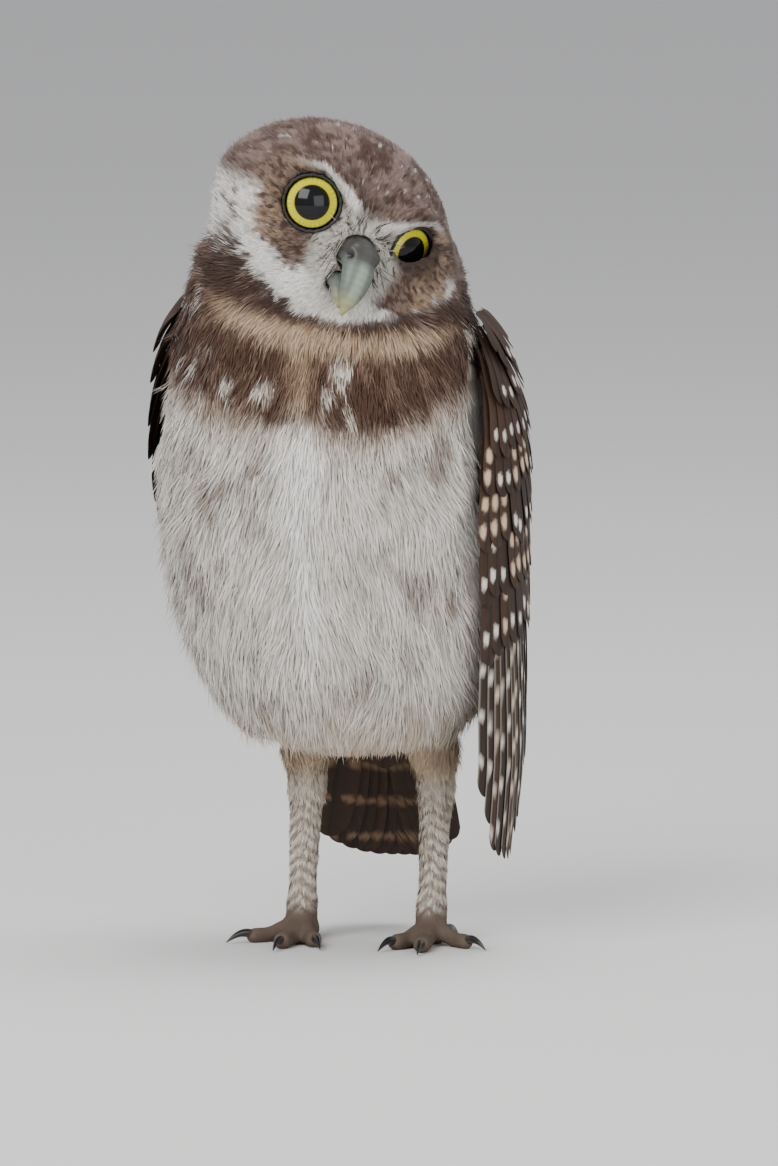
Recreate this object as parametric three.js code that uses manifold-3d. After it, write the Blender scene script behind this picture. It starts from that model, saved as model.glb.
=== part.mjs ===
// A young burrowing owl standing on flat ground, life size, its head turned and tipped to its left.
// Millimetres, +Z up. The owl faces -Y and its own left side is +X. It stands 233 mm tall.
import * as THREE from "three";
import { mergeVertices } from "three/addons/utils/BufferGeometryUtils.js";
import Module from "manifold-3d";

const wasm = await Module();
wasm.setup();
const { Manifold, Mesh: SolidMesh } = wasm;

// Driving sizes
const GAP = 0.3; // between pieces that meet
const FOOTPRINT_MIDDLE = { x: -1.5, y: 0 }; // middle of the owl seen from above, in the body's frame
const BELLY_BOTTOM = 54;
const TRUNK_TOP = 208;
const SHOULDER = 181; // height of the top of the wings
const WING_LENGTH = 160; // shoulder to wing tip
const WING_CHORD = 68; // widest, front edge to back edge
const SHOULDER_ACROSS = 31; // front edge to the top of the shoulder
const CHART_RADIUS = 46; // mean radius of the body where the wings lie on it
const WING_ROOM = 16; // clear depth over the middle of a wing's inner face
const HEAD = { x: -3.2, y: -6, z: 203, turn: 34.3, nod: 5.4, tilt: 26.7 }; // centre, and angles in degrees
const HEAD_HALF_WIDTH = 35.5;
const FACE_DEPTH = 24.5; // head centre to the flat of the face
const NAPE_DEPTH = 33;
const CROWN_HEIGHT = 28.5;
const JAW_DEPTH = 29;
const EYE_RADIUS = 9.2;
const EYE = { x: 14.7, y: -16.2, z: 2.3, outward: 23 }; // middle of the left eyeball, and the way it looks
const LEGS_MIDDLE = 5; // the feet stand a little to the owl's left
const LEG_SPACING = 18.6; // half the distance between the feet
const HOCK = { y: 12, z: 46 };
const ANKLE = { y: 5, z: 7 };

const LARGE_PIECE = 4000; // cubic millimetres

const rad = THREE.MathUtils.degToRad;
const V =(x, y, z) => new THREE.Vector3(x, y, z);

// The stations of a feather, from root to tip: place along it and share of its full width there
const VANE_STATIONS = [[0, 0.5], [0.3, 0.82], [0.68, 1], [0.92, 0.7], [1, 0]];
const VANE_THICKNESS = 0.72; // at the shaft
const VANE_STEP = 0.9; // height from one feather to the next

// A smooth value through a few [place, value] keys.
function profile(keys) {
  const last = keys.length - 1;
  const slope = (i) => {
    const a = keys[Math.max(i - 1, 0)];
    const b = keys[Math.min(i + 1, last)];
    return (b[1] - a[1]) / (b[0] - a[0]);
  };
  return (at) => {
    const place = THREE.MathUtils.clamp(at, keys[0][0], keys[last][0]);
    let i = 0;
    while (i < last - 1 && keys[i + 1][0] < place) i++;
    const [x0, y0] = keys[i];
    const [x1, y1] = keys[i + 1];
    const step = x1 - x0;
    const t = (place - x0) / step;
    const ease = t * t * (3 - 2 * t);
    const leave = t * (1 - t) * (1 - t) * step * slope(i);
    const arrive = t * t * (t - 1) * step * slope(i + 1);
    return y0 + (y1 - y0) * ease + leave + arrive;
  };
}

// A closed three.js geometry as a solid that can be joined and cut.
function solid(geometry) {
  const bare = geometry.clone();
  bare.deleteAttribute("normal");
  bare.deleteAttribute("uv");
  const merged = mergeVertices(bare, 1e-4);
  const corners = Array.from(merged.index.array);
  const facing = (triVerts) =>
    new Manifold(
      new SolidMesh({
        numProp: 3,
        vertProperties: merged.attributes.position.array,
        triVerts: new Uint32Array(triVerts),
      }),
    );
  const made = facing(corners);
  const turned = corners.map((_, i) => corners[2 * (i - (i % 3)) + 2 - i]);
  return made.volume() > 0 ? made : facing(turned);
}

// The largest closed surface of a solid, as a geometry. Small pieces keep finer detail than large ones.
function geometryOf(made) {
  const fineness = made.volume() > LARGE_PIECE ? 0.13 : 0.03;
  const bodies = made.simplify(fineness).decompose();
  bodies.sort((a, b) => b.volume() - a.volume());
  const mesh = bodies[0].getMesh();
  const geometry = new THREE.BufferGeometry();
  geometry.setAttribute("position", new THREE.BufferAttribute(mesh.vertProperties, 3));
  geometry.setIndex(new THREE.BufferAttribute(mesh.triVerts, 1));
  geometry.computeVertexNormals();
  return geometry;
}

// A closed form through rings of points. A ring of one point is a tip, and an open end is closed flat.
// The diagonals alternate, so that the two faces of a thin form are split alike.
function lofted(rings) {
  const position = [];
  const index = [];
  const starts = rings.map((ring) => {
    const at = position.length / 3;
    ring.forEach((p) => position.push(p.x, p.y, p.z));
    return at;
  });
  const cap = (at, count, forward) => {
    for (let i = 1; i < count - 1; i++) {
      index.push(at, forward ? at + i + 1 : at + i, forward ? at + i : at + i + 1);
    }
  };
  for (let r = 0; r < rings.length - 1; r++) {
    const a = starts[r];
    const b = starts[r + 1];
    const count = Math.max(rings[r].length, rings[r + 1].length);
    for (let i = 0; i < count; i++) {
      const j = (i + 1) % count;
      if (rings[r].length === 1) index.push(a, b + j, b + i);
      else if (rings[r + 1].length === 1) index.push(a + i, a + j, b);
      else if (i % 2) index.push(a + i, a + j, b + j, a + i, b + j, b + i);
      else index.push(a + i, a + j, b + i, a + j, b + j, b + i);
    }
  }
  cap(starts[0], rings[0].length, true);
  cap(starts.at(-1), rings.at(-1).length, false);
  const geometry = new THREE.BufferGeometry();
  geometry.setAttribute("position", new THREE.BufferAttribute(new Float32Array(position), 3));
  geometry.setIndex(index);
  return solid(geometry);
}

// A round-sectioned limb along points, each { at, wide, deep }: radii across and fore-and-aft of the path.
function limb(stations, sides = 10, pointed = false) {
  const path = stations.map((s) => s.at);
  const rings = stations.map(({ at, wide, deep = wide }, k) => {
    const along = path[Math.min(k + 1, path.length - 1)].clone().sub(path[Math.max(k - 1, 0)]).normalize();
    const across = Math.abs(along.x) > 0.9 ? V(0, 1, 0) : V(1, 0, 0);
    across.addScaledVector(along, -across.dot(along)).normalize();
    const other = along.clone().cross(across);
    return Array.from({ length: sides }, (_, i) => {
      const turn = (i / sides) * 2 * Math.PI;
      const point = at.clone().addScaledVector(across, wide * Math.cos(turn));
      return point.addScaledVector(other, deep * Math.sin(turn));
    });
  });
  if (pointed) rings[rings.length - 1] = [path.at(-1)];
  return lofted(rings);
}

// A unit ball whose every vertex is moved to place(x, y, z), with its poles on Z.
function shapedBall(around, rings, place) {
  const geometry = new THREE.SphereGeometry(1, around, rings).rotateX(Math.PI / 2);
  const position = geometry.attributes.position;
  for (let i = 0; i < position.count; i++) {
    const p = place(position.getX(i), position.getY(i), position.getZ(i));
    position.setXYZ(i, p.x, p.y, p.z);
  }
  return solid(geometry);
}

const ball = (middle, x, y, z, around = 16, rings = 10) =>
  shapedBall(around, rings, (a, b, c) => V(middle.x + a * x, middle.y + b * y, middle.z + c * z));

// The trunk: half width, reach to the front and to the back, and sideways lean, all against height.
const TRUNK = {
  wide: profile([
    [54, 26], [69, 37.5], [83, 44.5], [97, 48.5], [125, 51.5],
    [153, 49.5], [168, 45.5], [184, 40.6], [197, 38], [208, 32],
  ]),
  front: profile([
    [54, 22], [62, 27], [69, 32], [83, 38.5], [97, 42],
    [125, 44], [153, 42], [168, 36], [184, 30.5], [208, 24],
  ]),
  back: profile([
    [54, 20], [62, 27], [69, 31], [83, 35.5], [97, 37.5],
    [125, 38.5], [153, 36.5], [168, 34], [184, 30.5], [208, 24],
  ]),
  middle: profile([[54, 2.5], [97, -0.5], [125, -2], [153, -3], [184, -5.6], [208, -5]]),
};

function trunk(grow = 0) {
  const low = BELLY_BOTTOM - grow;
  const high = TRUNK_TOP + grow;
  const roundOff = 13; // height over which each end closes
  return shapedBall(30, 18, (x, y, z) => {
    const height = low + ((high - low) * (z + 1)) / 2;
    const nearest = Math.min(1, (height - low) / roundOff, (high - height) / roundOff);
    const closing = Math.sqrt(1 - (1 - nearest) ** 2);
    const turn = Math.atan2(y, x);
    const reach = (y < 0 ? TRUNK.front(height) : TRUNK.back(height)) + grow;
    return V(
      TRUNK.middle(height) + closing * (TRUNK.wide(height) + grow) * Math.cos(turn),
      closing * reach * Math.sin(turn),
      height,
    );
  });
}

// The wings lie on a sleeve round the trunk. The left one hangs straight, the right one is folded close.
const SLEEVES = {
  left: {
    wide: profile([
      [22, 43], [50, 46], [75, 48], [110, 49.6], [139, 49.7], [153, 48.4], [168, 45.4], [184, 41.5],
    ]),
    front: profile([[22, 35], [60, 38.5], [100, 41], [139, 41], [168, 35], [184, 31]]),
    back: profile([[22, 33], [60, 36], [100, 37], [139, 37], [168, 33], [184, 30]]),
  },
  right: {
    wide: profile([
      [45, 31], [60, 34], [83, 42], [97, 45.5], [111, 47.3], [139, 48], [153, 46.5], [168, 43], [184, 38.5],
    ]),
    front: profile([[45, 30], [83, 37], [100, 40], [139, 41], [168, 35], [184, 31]]),
    back: profile([[45, 39], [75, 37.5], [100, 36.5], [139, 36.5], [168, 33], [184, 30]]),
  },
};

// A place on a wing: along it from the shoulder, back from its front edge, and out from its inner face.
// "turned" is how far forward of the owl's side the shoulder sits, "slope" how far back the tip swings, and
// "narrow" and "short" make a folded wing smaller. Both are made as left ones and the right one is mirrored.
function wingChart({ sleeve, slope, turned, narrow, short, lean }) {
  const sin = Math.sin(rad(slope));
  const cos = Math.cos(rad(slope));
  return (along, across, out) => {
    const chord = (across - SHOULDER_ACROSS) * narrow;
    const reachDown = along * short;
    const turn = rad(turned) - (reachDown * sin + chord * cos) / CHART_RADIUS;
    const height = SHOULDER - reachDown * cos + chord * sin;
    const reach = turn > 0 ? sleeve.front(height) : sleeve.back(height);
    return V(
      lean * TRUNK.middle(height) + (sleeve.wide(height) + out) * Math.cos(turn),
      -(reach + out) * Math.sin(turn),
      height,
    );
  };
}
const CHARTS = {
  left: wingChart({ sleeve: SLEEVES.left, slope: 2, turned: 2.4, narrow: 1, short: 1, lean: 1 }),
  right: wingChart({ sleeve: SLEEVES.right, slope: 25, turned: 4, narrow: 0.8, short: 0.8, lean: -1 }),
};

// The outline of a closed wing: its front and back edges against the distance from the shoulder.
const WING_FRONT = profile([
  [0, 27], [8, 13], [30, 5], [55, 1], [70, -2], [80, -3], [128, -2.5], [150, 5], [161, 15],
]);
const WING_BACK = profile([
  [0, 35], [8, 50], [35, 62], [70, WING_CHORD - 1], [95, WING_CHORD],
  [118, 60], [137, 45], [150, 34], [161, 19],
]);
const WING_THICKNESS =profile([[0, 3], [20, 5], [60, 4.6], [90, 3.2], [161, 1.6]]);

// The space that a closed wing fills, grown all round and inward, with room above it.
function wingSpace(chart, grow, deeper) {
  return shapedBall(20, 18, (x, y, z) => {
    const along = -grow + ((WING_LENGTH + 2 * grow) * (1 - z)) / 2;
    const ring = Math.sqrt(Math.max(0, 1 - z * z));
    const closing = Math.min(1, ring * 1.6);
    const side = ring ? x / ring : 0;
    const level = ring ? y / ring : 0;
    const front = WING_FRONT(along) - grow;
    const back = WING_BACK(along) + grow;
    const middle = (front + back) / 2;
    const flat = Math.sign(side) * Math.abs(side) ** 0.7;
    const across = middle + (flat * closing * (back - front)) / 2;
    const half = WING_THICKNESS(along) / 2;
    const face = Math.sign(level) * Math.abs(level) ** 0.6 * closing;
    return chart(along, across, half + face * (face < 0 ? half + deeper : WING_ROOM));
  });
}

// One feather on a chart. Its root and tip are given as [across, along]. The edge towards the front of the
// wing rides high by "tilt" for each millimetre of width, so that the next feather lies over the far edge.
function vane(chart, { root, tip, width, lift, tilt = 0, sink = lift - 1.3 }) {
  const direction = new THREE.Vector2(tip[0] - root[0], tip[1] - root[1]).normalize();
  const rings = VANE_STATIONS.map(([t, share], k) => {
    const across = THREE.MathUtils.lerp(root[0], tip[0], t);
    const along = THREE.MathUtils.lerp(root[1], tip[1], t);
    const level = lift - sink * (1 - t) ** 2;
    const half = (width * share) / 2;
    const thick = VANE_THICKNESS / 2;
    const corner = (side, up) => {
      const aside = side * half;
      return chart(along - aside * direction.x, across + aside * direction.y, level - aside * tilt + up);
    };
    if (k === VANE_STATIONS.length - 1) return [corner(0, 0)];
    return [corner(-1, 0), corner(-0.15, thick), corner(1, 0), corner(-0.15, -thick)];
  });
  return lofted(rings);
}

// A row of feathers side by side, from the first root and tip to the last, each lying over the one before.
function row(chart, { count, roots, tips, arc = [0, 0], width, lift }) {
  const between = (ends, i, swell) => {
    const t = i / (count - 1);
    return [
      THREE.MathUtils.lerp(ends[0][0], ends[1][0], t),
      THREE.MathUtils.lerp(ends[0][1], ends[1][1], t) + 4 * swell * t * (1 - t),
    ];
  };
  const pitch = Math.abs(tips[1][0] - tips[0][0]) / (count - 1);
  const tilt = Math.min(0.26, VANE_STEP / pitch);
  return Array.from({ length: count }, (_, i) => {
    const ends = { root: between(roots, i, arc[0]), tip: between(tips, i, arc[1]) };
    return vane(chart, { ...ends, width, lift, tilt });
  });
}

// The rows of a wing from the innermost tier outward: the long flight feathers of the hand and of the arm,
// the innermost three, then four tiers of coverts up to the shoulder.
const WING_ROWS = [
  { count: 8, roots: [[15, 46], [30, 52]], tips: [[5, 137], [38, 133]], arc: [0, 22], width: 13.5, lift: 1 },
  { count: 5, roots: [[30, 50], [49, 40]], tips: [[42, 127], [62, 98]], width: 16, lift: 1.2 },
  { count: 3, roots: [[47, 36], [46, 26]], tips: [[64, 92], [59, 74]], width: 15, lift: 2.7 },
  { count: 7, roots: [[15, 46], [46, 40]], tips: [[5, 93], [58, 74]], arc: [0, 3], width: 13, lift: 3 },
  { count: 6, roots: [[14, 30], [44, 28]], tips: [[6, 68], [56, 54]], arc: [0, 2], width: 13, lift: 4 },
  { count: 5, roots: [[21, 15], [40, 14]], tips: [[10, 47], [53, 37]], arc: [0, 2], width: 14, lift: 5 },
  { count: 3, roots: [[24, 10], [36, 8]], tips: [[20, 29], [45, 25]], width: 13.5, lift: 5.6 },
];

// A wing: its rows of feathers, and the arm in which their roots are set.
function feathers(chart) {
  const arm = shapedBall(16, 10, (x, y, z) => chart(37 - 34 * z, 31 + 26 * x, 1.7 + 2 * y));
  const made = Manifold.union([arm, ...WING_ROWS.flatMap((one) => row(chart, one))]);
  return made.intersect(wingSpace(chart, 1, GAP));
}

// The head, in its own frame: face towards -Y, the left eye at +X.
const headPlace = new THREE.Matrix4().compose(
  V(HEAD.x, HEAD.y, HEAD.z),
  new THREE.Quaternion().setFromEuler(new THREE.Euler(rad(HEAD.nod), rad(HEAD.tilt), rad(HEAD.turn), "ZXY")),
  V(1, 1, 1),
);

function skull(grow = 0) {
  return shapedBall(24, 16, (x, y, z) => {
    const flat = 1 - (1 - Math.abs(y)) ** 1.5;
    const deep = y < 0 ? -flat * (FACE_DEPTH + grow) : y * (NAPE_DEPTH + grow);
    const high = z > 0 ? z * (CROWN_HEIGHT + grow) : z * (JAW_DEPTH + grow);
    return V(x * (HEAD_HALF_WIDTH + grow), deep, high);
  });
}

const eyeAxis = (side) => V(side * Math.sin(rad(EYE.outward)), -Math.cos(rad(EYE.outward)), 0);
const eyeMiddle = (side) => V(side * EYE.x, EYE.y, EYE.z);

// The rim of the lids, a ring round each eye.
function lids(side) {
  const ring = new THREE.TorusGeometry(8.1, 1.2, 5, 14);
  ring.lookAt(eyeAxis(side));
  const at = eyeMiddle(side).addScaledVector(eyeAxis(side), 5);
  return solid(ring.translate(at.x, at.y, at.z));
}

// The hollow of the face in front of each eye.
function dish(side) {
  const hollow = new THREE.SphereGeometry(1, 14, 9).scale(13, 13, 9.5);
  hollow.lookAt(eyeAxis(side));
  const at = eyeMiddle(side).addScaledVector(eyeAxis(side), 13);
  return solid(hollow.translate(at.x, at.y, at.z));
}

// The ridge over each eye, from the bill's root out to the temple.
function brow(side) {
  const arc = new THREE.CatmullRomCurve3([
    V(side * 3, -25, -1),
    V(side * 7.5, -26.5, 8),
    V(side * 15, -24.5, 13.5),
    V(side * 25, -17, 12),
  ]);
  const width = profile([[0, 1.5], [0.35, 3.2], [0.7, 3], [1, 1.2]]);
  const steps = 5;
  const at = (i) => ({ at: arc.getPoint(i / steps), wide: width(i / steps) });
  return limb(Array.from({ length: steps + 1 }, (_, i) => at(i)), 6);
}

// The rounds of the head, without its fine features.
function headRounds(grow = 0) {
  const chin = ball(V(0, -19, -19), 15 + grow, 7.5 + grow, 10 + grow, 14, 8);
  const bristles = ball(V(0, -23.5, -6), 7.5 + grow, 6 + grow, 11 + grow, 12, 8);
  return Manifold.union([skull(grow), chin, bristles]);
}

function head() {
  const dished = Manifold.difference([headRounds(), dish(-1), dish(1)]);
  return Manifold.union([dished, ...[-1, 1].flatMap((side) => [lids(side), brow(side)])]);
}

const eyeball = (side) => ball(eyeMiddle(side), EYE_RADIUS, EYE_RADIUS, EYE_RADIUS, 14, 10);

// Half a bill from its root to its tip, as [y, z, half width, half depth].
const billStations = (keys, grow) =>
  keys.map(([y, z, wide, deep]) => ({ at: V(0, y, z), wide: wide + grow, deep: deep + grow }));

// The hooked upper bill with its swollen cere and two nostrils.
function upperBill(grow = 0) {
  const keys = [
    [-21, -5, 5.4, 5.4],
    [-27, -5, 5.3, 5],
    [-31, -7.5, 5, 4.2],
    [-33.8, -12, 4.2, 3.3],
    [-35, -17, 2.8, 2.2],
    [-35.6, -22.4, 0.4, 0.4],
  ];
  const horn = limb(billStations(keys, grow), 12);
  const swelling = (side) => ball(V(side * 3.2, -31, -3.8), 2.7 + grow, 2.9 + grow, 2.6 + grow, 10, 6);
  const cere = [-1, 1].map(swelling);
  const nostrils = [-1, 1].map((side) => ball(V(side * 4.5, -33.1, -4.6), 1, 1.2, 0.9, 6, 5));
  const made = Manifold.union([horn, ...cere]);
  return grow ? made : Manifold.difference([made, ...nostrils]);
}

function lowerBill(grow = 0) {
  const keys = [
    [-21, -13, 4.4, 3],
    [-27, -14.5, 4.2, 2.8],
    [-30.5, -17.5, 3.3, 2.1],
    [-32.3, -20.3, 1.2, 0.9],
  ];
  return limb(billStations(keys, grow), 10);
}

// The tail: a fan of feathers hung from the rump, on a chart of its own.
const TAIL = { x: 5, y: 23, z: 76, length: 61, fan: 26 };
const tailDown = V(0.01, 0.37, -0.93).normalize();
const tailOut = V(0, 0.93, 0.37).normalize();

function tailChart(along, across, out) {
  return V(TAIL.x + across, TAIL.y, TAIL.z)
    .addScaledVector(tailDown, along)
    .addScaledVector(tailOut, out - (across * across) / 90);
}

function tail() {
  const half = 5;
  const fan = Array.from({ length: 2 * half }, (_, i) => {
    const place = i - half + 0.5;
    const length = TAIL.length - 0.28 * place * place;
    const spread = rad((place * TAIL.fan) / (2 * half));
    const root = [place * 1.3, 2];
    const tip = [place * 1.3 + length * Math.sin(spread), length * Math.cos(spread)];
    return vane(tailChart, { root, tip, width: 12.5, lift: -VANE_STEP * Math.abs(place), sink: 0 });
  });
  const covers = [1, -1].flatMap((face) =>
    [-2, -1, 0, 1, 2].map((place) => {
      const aside = Math.abs(place);
      const level = face > 0 ? 1.3 : -1.3 - VANE_STEP * half;
      const root = [place * 3, 0];
      const tip = [place * 4.2, 27 - aside * 2];
      return vane(tailChart, { root, tip, width: 9, lift: level - face * 0.6 * aside, sink: 0 });
    }),
  );
  const rump = ball(tailChart(5, 0, (-VANE_STEP * half) / 2), 11, 5.5, 11, 14, 9);
  return Manifold.union([rump, ...fan, ...covers]);
}

// One leg, from the feathered thigh through the hock to the ankle.
function leg(side) {
  const x = LEGS_MIDDLE + side * LEG_SPACING;
  const stations = [
    { at: V(x - side * 3.5, 0, 82), wide: 14, deep: 17 },
    { at: V(x - side * 2, 3.5, 68), wide: 11.5, deep: 14 },
    { at: V(x - side * 0.8, 8, 57), wide: 8.4, deep: 10 },
    { at: V(x, HOCK.y - 0.5, 49), wide: 6.3, deep: 7 },
    { at: V(x, HOCK.y, 44), wide: 5.8, deep: 6.2 },
    { at: V(x, HOCK.y - 2, 34), wide: 4.7, deep: 5 },
    { at: V(x, ANKLE.y + 2, 18), wide: 4.2, deep: 4.4 },
    { at: V(x, ANKLE.y, ANKLE.z), wide: 4.5, deep: 4.6 },
    { at: V(x, ANKLE.y - 0.5, 3), wide: 3.6, deep: 3.8 },
  ];
  return limb(stations, 12);
}

// Toes of a left foot: heading in degrees from straight ahead towards the outside, length and thickness.
const TOES = [
  { name: "inner", heading: -24, length: 19, thick: 2.5 },
  { name: "middle", heading: 4, length: 22, thick: 2.6 },
  { name: "outer", heading: 52, length: 17, thick: 2.3 },
  { name: "hind", heading: 166, length: 11, thick: 2.4 },
];
const CLAW_LENGTH = 8.5;

// A place on the ground plan of a foot: forward along a toe, at a height.
function toePlace(side, toe, forward, height) {
  const heading = rad(toe.heading);
  const x = LEGS_MIDDLE + side * (LEG_SPACING + forward * Math.sin(heading));
  return V(x, ANKLE.y - forward * Math.cos(heading), height);
}

function toe(side, one) {
  const r = one.thick;
  return limb(
    [
      { at: toePlace(side, one, 0, 4.2), wide: r * 1.2 },
      { at: toePlace(side, one, one.length * 0.3, 3.6), wide: r * 1.1 },
      { at: toePlace(side, one, one.length * 0.6, r * 0.85), wide: r * 0.95 },
      { at: toePlace(side, one, one.length * 0.9, r * 0.85), wide: r },
      { at: toePlace(side, one, one.length, r * 0.9), wide: r * 0.72 },
    ],
    7,
  );
}

function claw(side, one, grow = 0) {
  const start = one.length - 2;
  const steps = [0, 0.3, 0.6, 0.85, 1];
  const radius = [1.35, 1.2, 0.9, 0.5, 0.25];
  const rise = [2.3, 2.9, 2.5, 1.4, 0.55];
  const stations = steps.map((share, i) => ({
    at: toePlace(side, one, start + share * CLAW_LENGTH, rise[i]),
    wide: radius[i] + grow,
  }));
  return limb(stations, 6, true);
}

// Parting the whole body
const napeCut = { normal: [Math.sin(rad(4)), 0, Math.cos(rad(4))], offset: 188 };
const collarCut = { normal: [Math.sin(rad(6)), -Math.sin(rad(4)), Math.cos(rad(6))], offset: 153 };
const above = (made, cut) => made.trimByPlane(cut.normal, cut.offset + GAP / 2);
const below = (made, cut) => made.trimByPlane(cut.normal.map((n) => -n), -cut.offset + GAP / 2);

const wingForms = {
  left: feathers(CHARTS.left),
  right: feathers(CHARTS.right).mirror([1, 0, 0]),
};
const wingRooms = [
  wingSpace(CHARTS.left, 1.5, 2 * GAP),
  wingSpace(CHARTS.right, 1.5, 2 * GAP).mirror([1, 0, 0]),
];
const headForm = head().transform(headPlace.elements);
const eyeRooms = [-1, 1].map((side) => {
  const r = EYE_RADIUS + GAP;
  return ball(eyeMiddle(side), r, r, r, 14, 10).transform(headPlace.elements);
});
const billRooms = [upperBill(GAP + 0.1), lowerBill(GAP + 0.1)].map((room) =>
  room.translate([0, 0.4, 0]).transform(headPlace.elements),
);
const rooms = [...wingRooms, ...eyeRooms, ...billRooms];
const trunkForm = Manifold.difference([trunk(), ...rooms]);
const trunkRoom = trunk(GAP);
const headRoom = headRounds(GAP).transform(headPlace.elements);

// Materials
const finish = (color, roughness, metalness = 0) =>
  new THREE.MeshStandardMaterial({ color, roughness, metalness, flatShading: true });
const MATERIALS = {
  crown: finish(0x6b584e, 0.95),
  collar: finish(0x7a6250, 0.95),
  breast: finish(0xbfb6ab, 0.95),
  wing: finish(0x3d2b21, 0.8),
  leg: finish(0xa89a86, 0.95),
  toes: finish(0x6e5c4e, 0.8),
  claw: finish(0x201c1a, 0.4),
  bill: finish(0x9aa694, 0.4),
  eye: finish(0xe8d62a, 0.1),
};

const owl = new THREE.Group();
const body = new THREE.Group();
const headGroup = new THREE.Group();
headPlace.decompose(headGroup.position, headGroup.quaternion, headGroup.scale);
body.position.set(-FOOTPRINT_MIDDLE.x, -FOOTPRINT_MIDDLE.y, 0);
body.add(headGroup);
owl.add(body);

function add(name, made, material, group = body) {
  const mesh = new THREE.Mesh(geometryOf(made), MATERIALS[material]);
  mesh.name = name;
  group.add(mesh);
}

add("head", Manifold.difference([headForm, ...rooms]).add(above(trunkForm, napeCut)), "crown");
add("neck", above(below(trunkForm, napeCut), collarCut).subtract(headRoom), "collar");
add("torso", below(trunkForm, collarCut), "breast");
add("wing_left", wingForms.left, "wing");
add("wing_right", wingForms.right, "wing");
add("tail", tail().subtract(trunkRoom), "wing");
add("bill_upper", upperBill(), "bill", headGroup);
add("bill_lower", lowerBill().subtract(upperBill(GAP)), "bill", headGroup);

for (const [label, side] of [["left", 1], ["right", -1]]) {
  const whole = leg(side);
  const hock = { normal: [0, 0.3, 1], offset: HOCK.z + 0.3 * HOCK.y };
  const ankle = { normal: [0, 0, 1], offset: ANKLE.z };
  const claws = TOES.map((one) => claw(side, one));
  const pad = ball(V(LEGS_MIDDLE + side * LEG_SPACING, ANKLE.y, 3.2), 5.2, 5.2, 3.7, 12, 8);
  const sole = Manifold.union([below(whole, ankle), pad, ...TOES.map((one) => toe(side, one))]);
  const clawRooms = TOES.map((one) => claw(side, { ...one, length: one.length - GAP }, GAP + 0.05));
  add(`eye_${label}`, eyeball(side), "eye", headGroup);
  add(`thigh_${label}`, above(whole, hock).subtract(trunkRoom), "leg");
  add(`tarsus_${label}`, above(below(whole, hock), ankle), "leg");
  const flat = below(sole, ankle).trimByPlane([0, 0, 1], 0);
  add(`foot_${label}`, Manifold.difference([flat, ...clawRooms]), "toes");
  TOES.forEach((one, i) => add(`claw_${label}_${one.name}`, claws[i], "claw"));
}

export default owl;
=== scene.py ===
# A young burrowing owl with its coat of down and feathers, standing on pale ground.
# Sizes are in millimetres in the body's own frame until a mesh is made. The owl faces -Y, its left is +X.
import math

import bpy
import numpy as np
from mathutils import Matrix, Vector
from mathutils.bvhtree import BVHTree


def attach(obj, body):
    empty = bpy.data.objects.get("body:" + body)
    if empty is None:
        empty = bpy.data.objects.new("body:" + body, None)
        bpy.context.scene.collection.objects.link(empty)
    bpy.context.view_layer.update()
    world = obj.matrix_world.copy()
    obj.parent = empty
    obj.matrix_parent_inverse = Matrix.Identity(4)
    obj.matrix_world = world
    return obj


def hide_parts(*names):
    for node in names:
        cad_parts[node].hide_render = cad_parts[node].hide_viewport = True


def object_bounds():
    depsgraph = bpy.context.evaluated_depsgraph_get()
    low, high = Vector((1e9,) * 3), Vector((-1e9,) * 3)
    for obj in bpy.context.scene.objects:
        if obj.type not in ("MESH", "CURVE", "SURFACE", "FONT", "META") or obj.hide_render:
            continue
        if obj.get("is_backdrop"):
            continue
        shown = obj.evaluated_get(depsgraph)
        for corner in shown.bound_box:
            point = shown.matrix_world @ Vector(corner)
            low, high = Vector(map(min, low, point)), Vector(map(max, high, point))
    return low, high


MM = 0.001
BODY_SHIFT = np.array([1.5, 0.0, 0.0])  # from the body's own frame to the part's

# The camera of the photograph
PHOTO_HEIGHT = 1166  # pixels
MM_PER_PIXEL = 0.28
SENSOR = 36.0
AZIMUTH = 12.0
ELEVATION = 6.0
DISTANCE = 3000.0
AIM = np.array([12.0, 2.6, 101.7])

# The head, as in the solids. Places in it are in its own frame, and for its left side.
HEAD_CENTRE = np.array([-3.2, -6.0, 203.0])
HEAD_TURN = 34.3
HEAD_NOD = 5.4
HEAD_TILT = 26.7
HEAD_HALF_SIZE = (36.5, 34.0, 30.0)
HEAD_SKIN_HALF_SIZE = (35.5, 29.0, 28.7)
DISC_HALF_WIDTH = 35
DISC_HALF_HEIGHT = 24
DISC_Z = -1
EYE_CENTRE = (14.7, -16.2, 2.3)
EYE_OUTWARD = 23.0
EYE_RADIUS = 9.2
IRIS_RADIUS = 6.9
PUPIL_RADIUS = 4.9
OPENING_RADIUS = 7.5
IRIS_BULGE = 1.1
EYE_RING = np.array([17.2, -20.5, 2.3])  # the middle of the dark ring round an eye
EYE_WHORL = (16.5, -20.0, 2.3)  # the coat runs outward from here round an eye
BILL_ROOT = np.array([0.0, -29.0, -6.0])
BILL_SEAT = ((-4.0, -60.0, -18.0), (4.0, -20.0, -4.0))  # bare skin under the bill, between two corners

# Legs and toes, as in the solids. Each toe has a heading in degrees and a length.
LEGS_MIDDLE = 5.0
LEG_SPACING = 18.6
ANKLE_Y = 5.0
TOES = {"inner": (-24, 19), "middle": (4, 22), "outer": (52, 17), "hind": (166, 11)}
CLAW_LENGTH = 8.5

# The measures of the coat
COAT_SHARE = 1.0
STRAYS = 0.05  # share of the blades that stand clear of the coat
BARE_RIM = 0.4  # bare skin round the opening of an eye
WING_COVER = 5.0  # skin nearer than this under a wing is bare
WING_COVER_AHEAD = 12.0  # where the wing also hides it this near ahead
PIECE_LIMIT = 190000  # triangles in one piece of the coat
PARTING = -11.0  # across the view, where the belly's down parts

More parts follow.
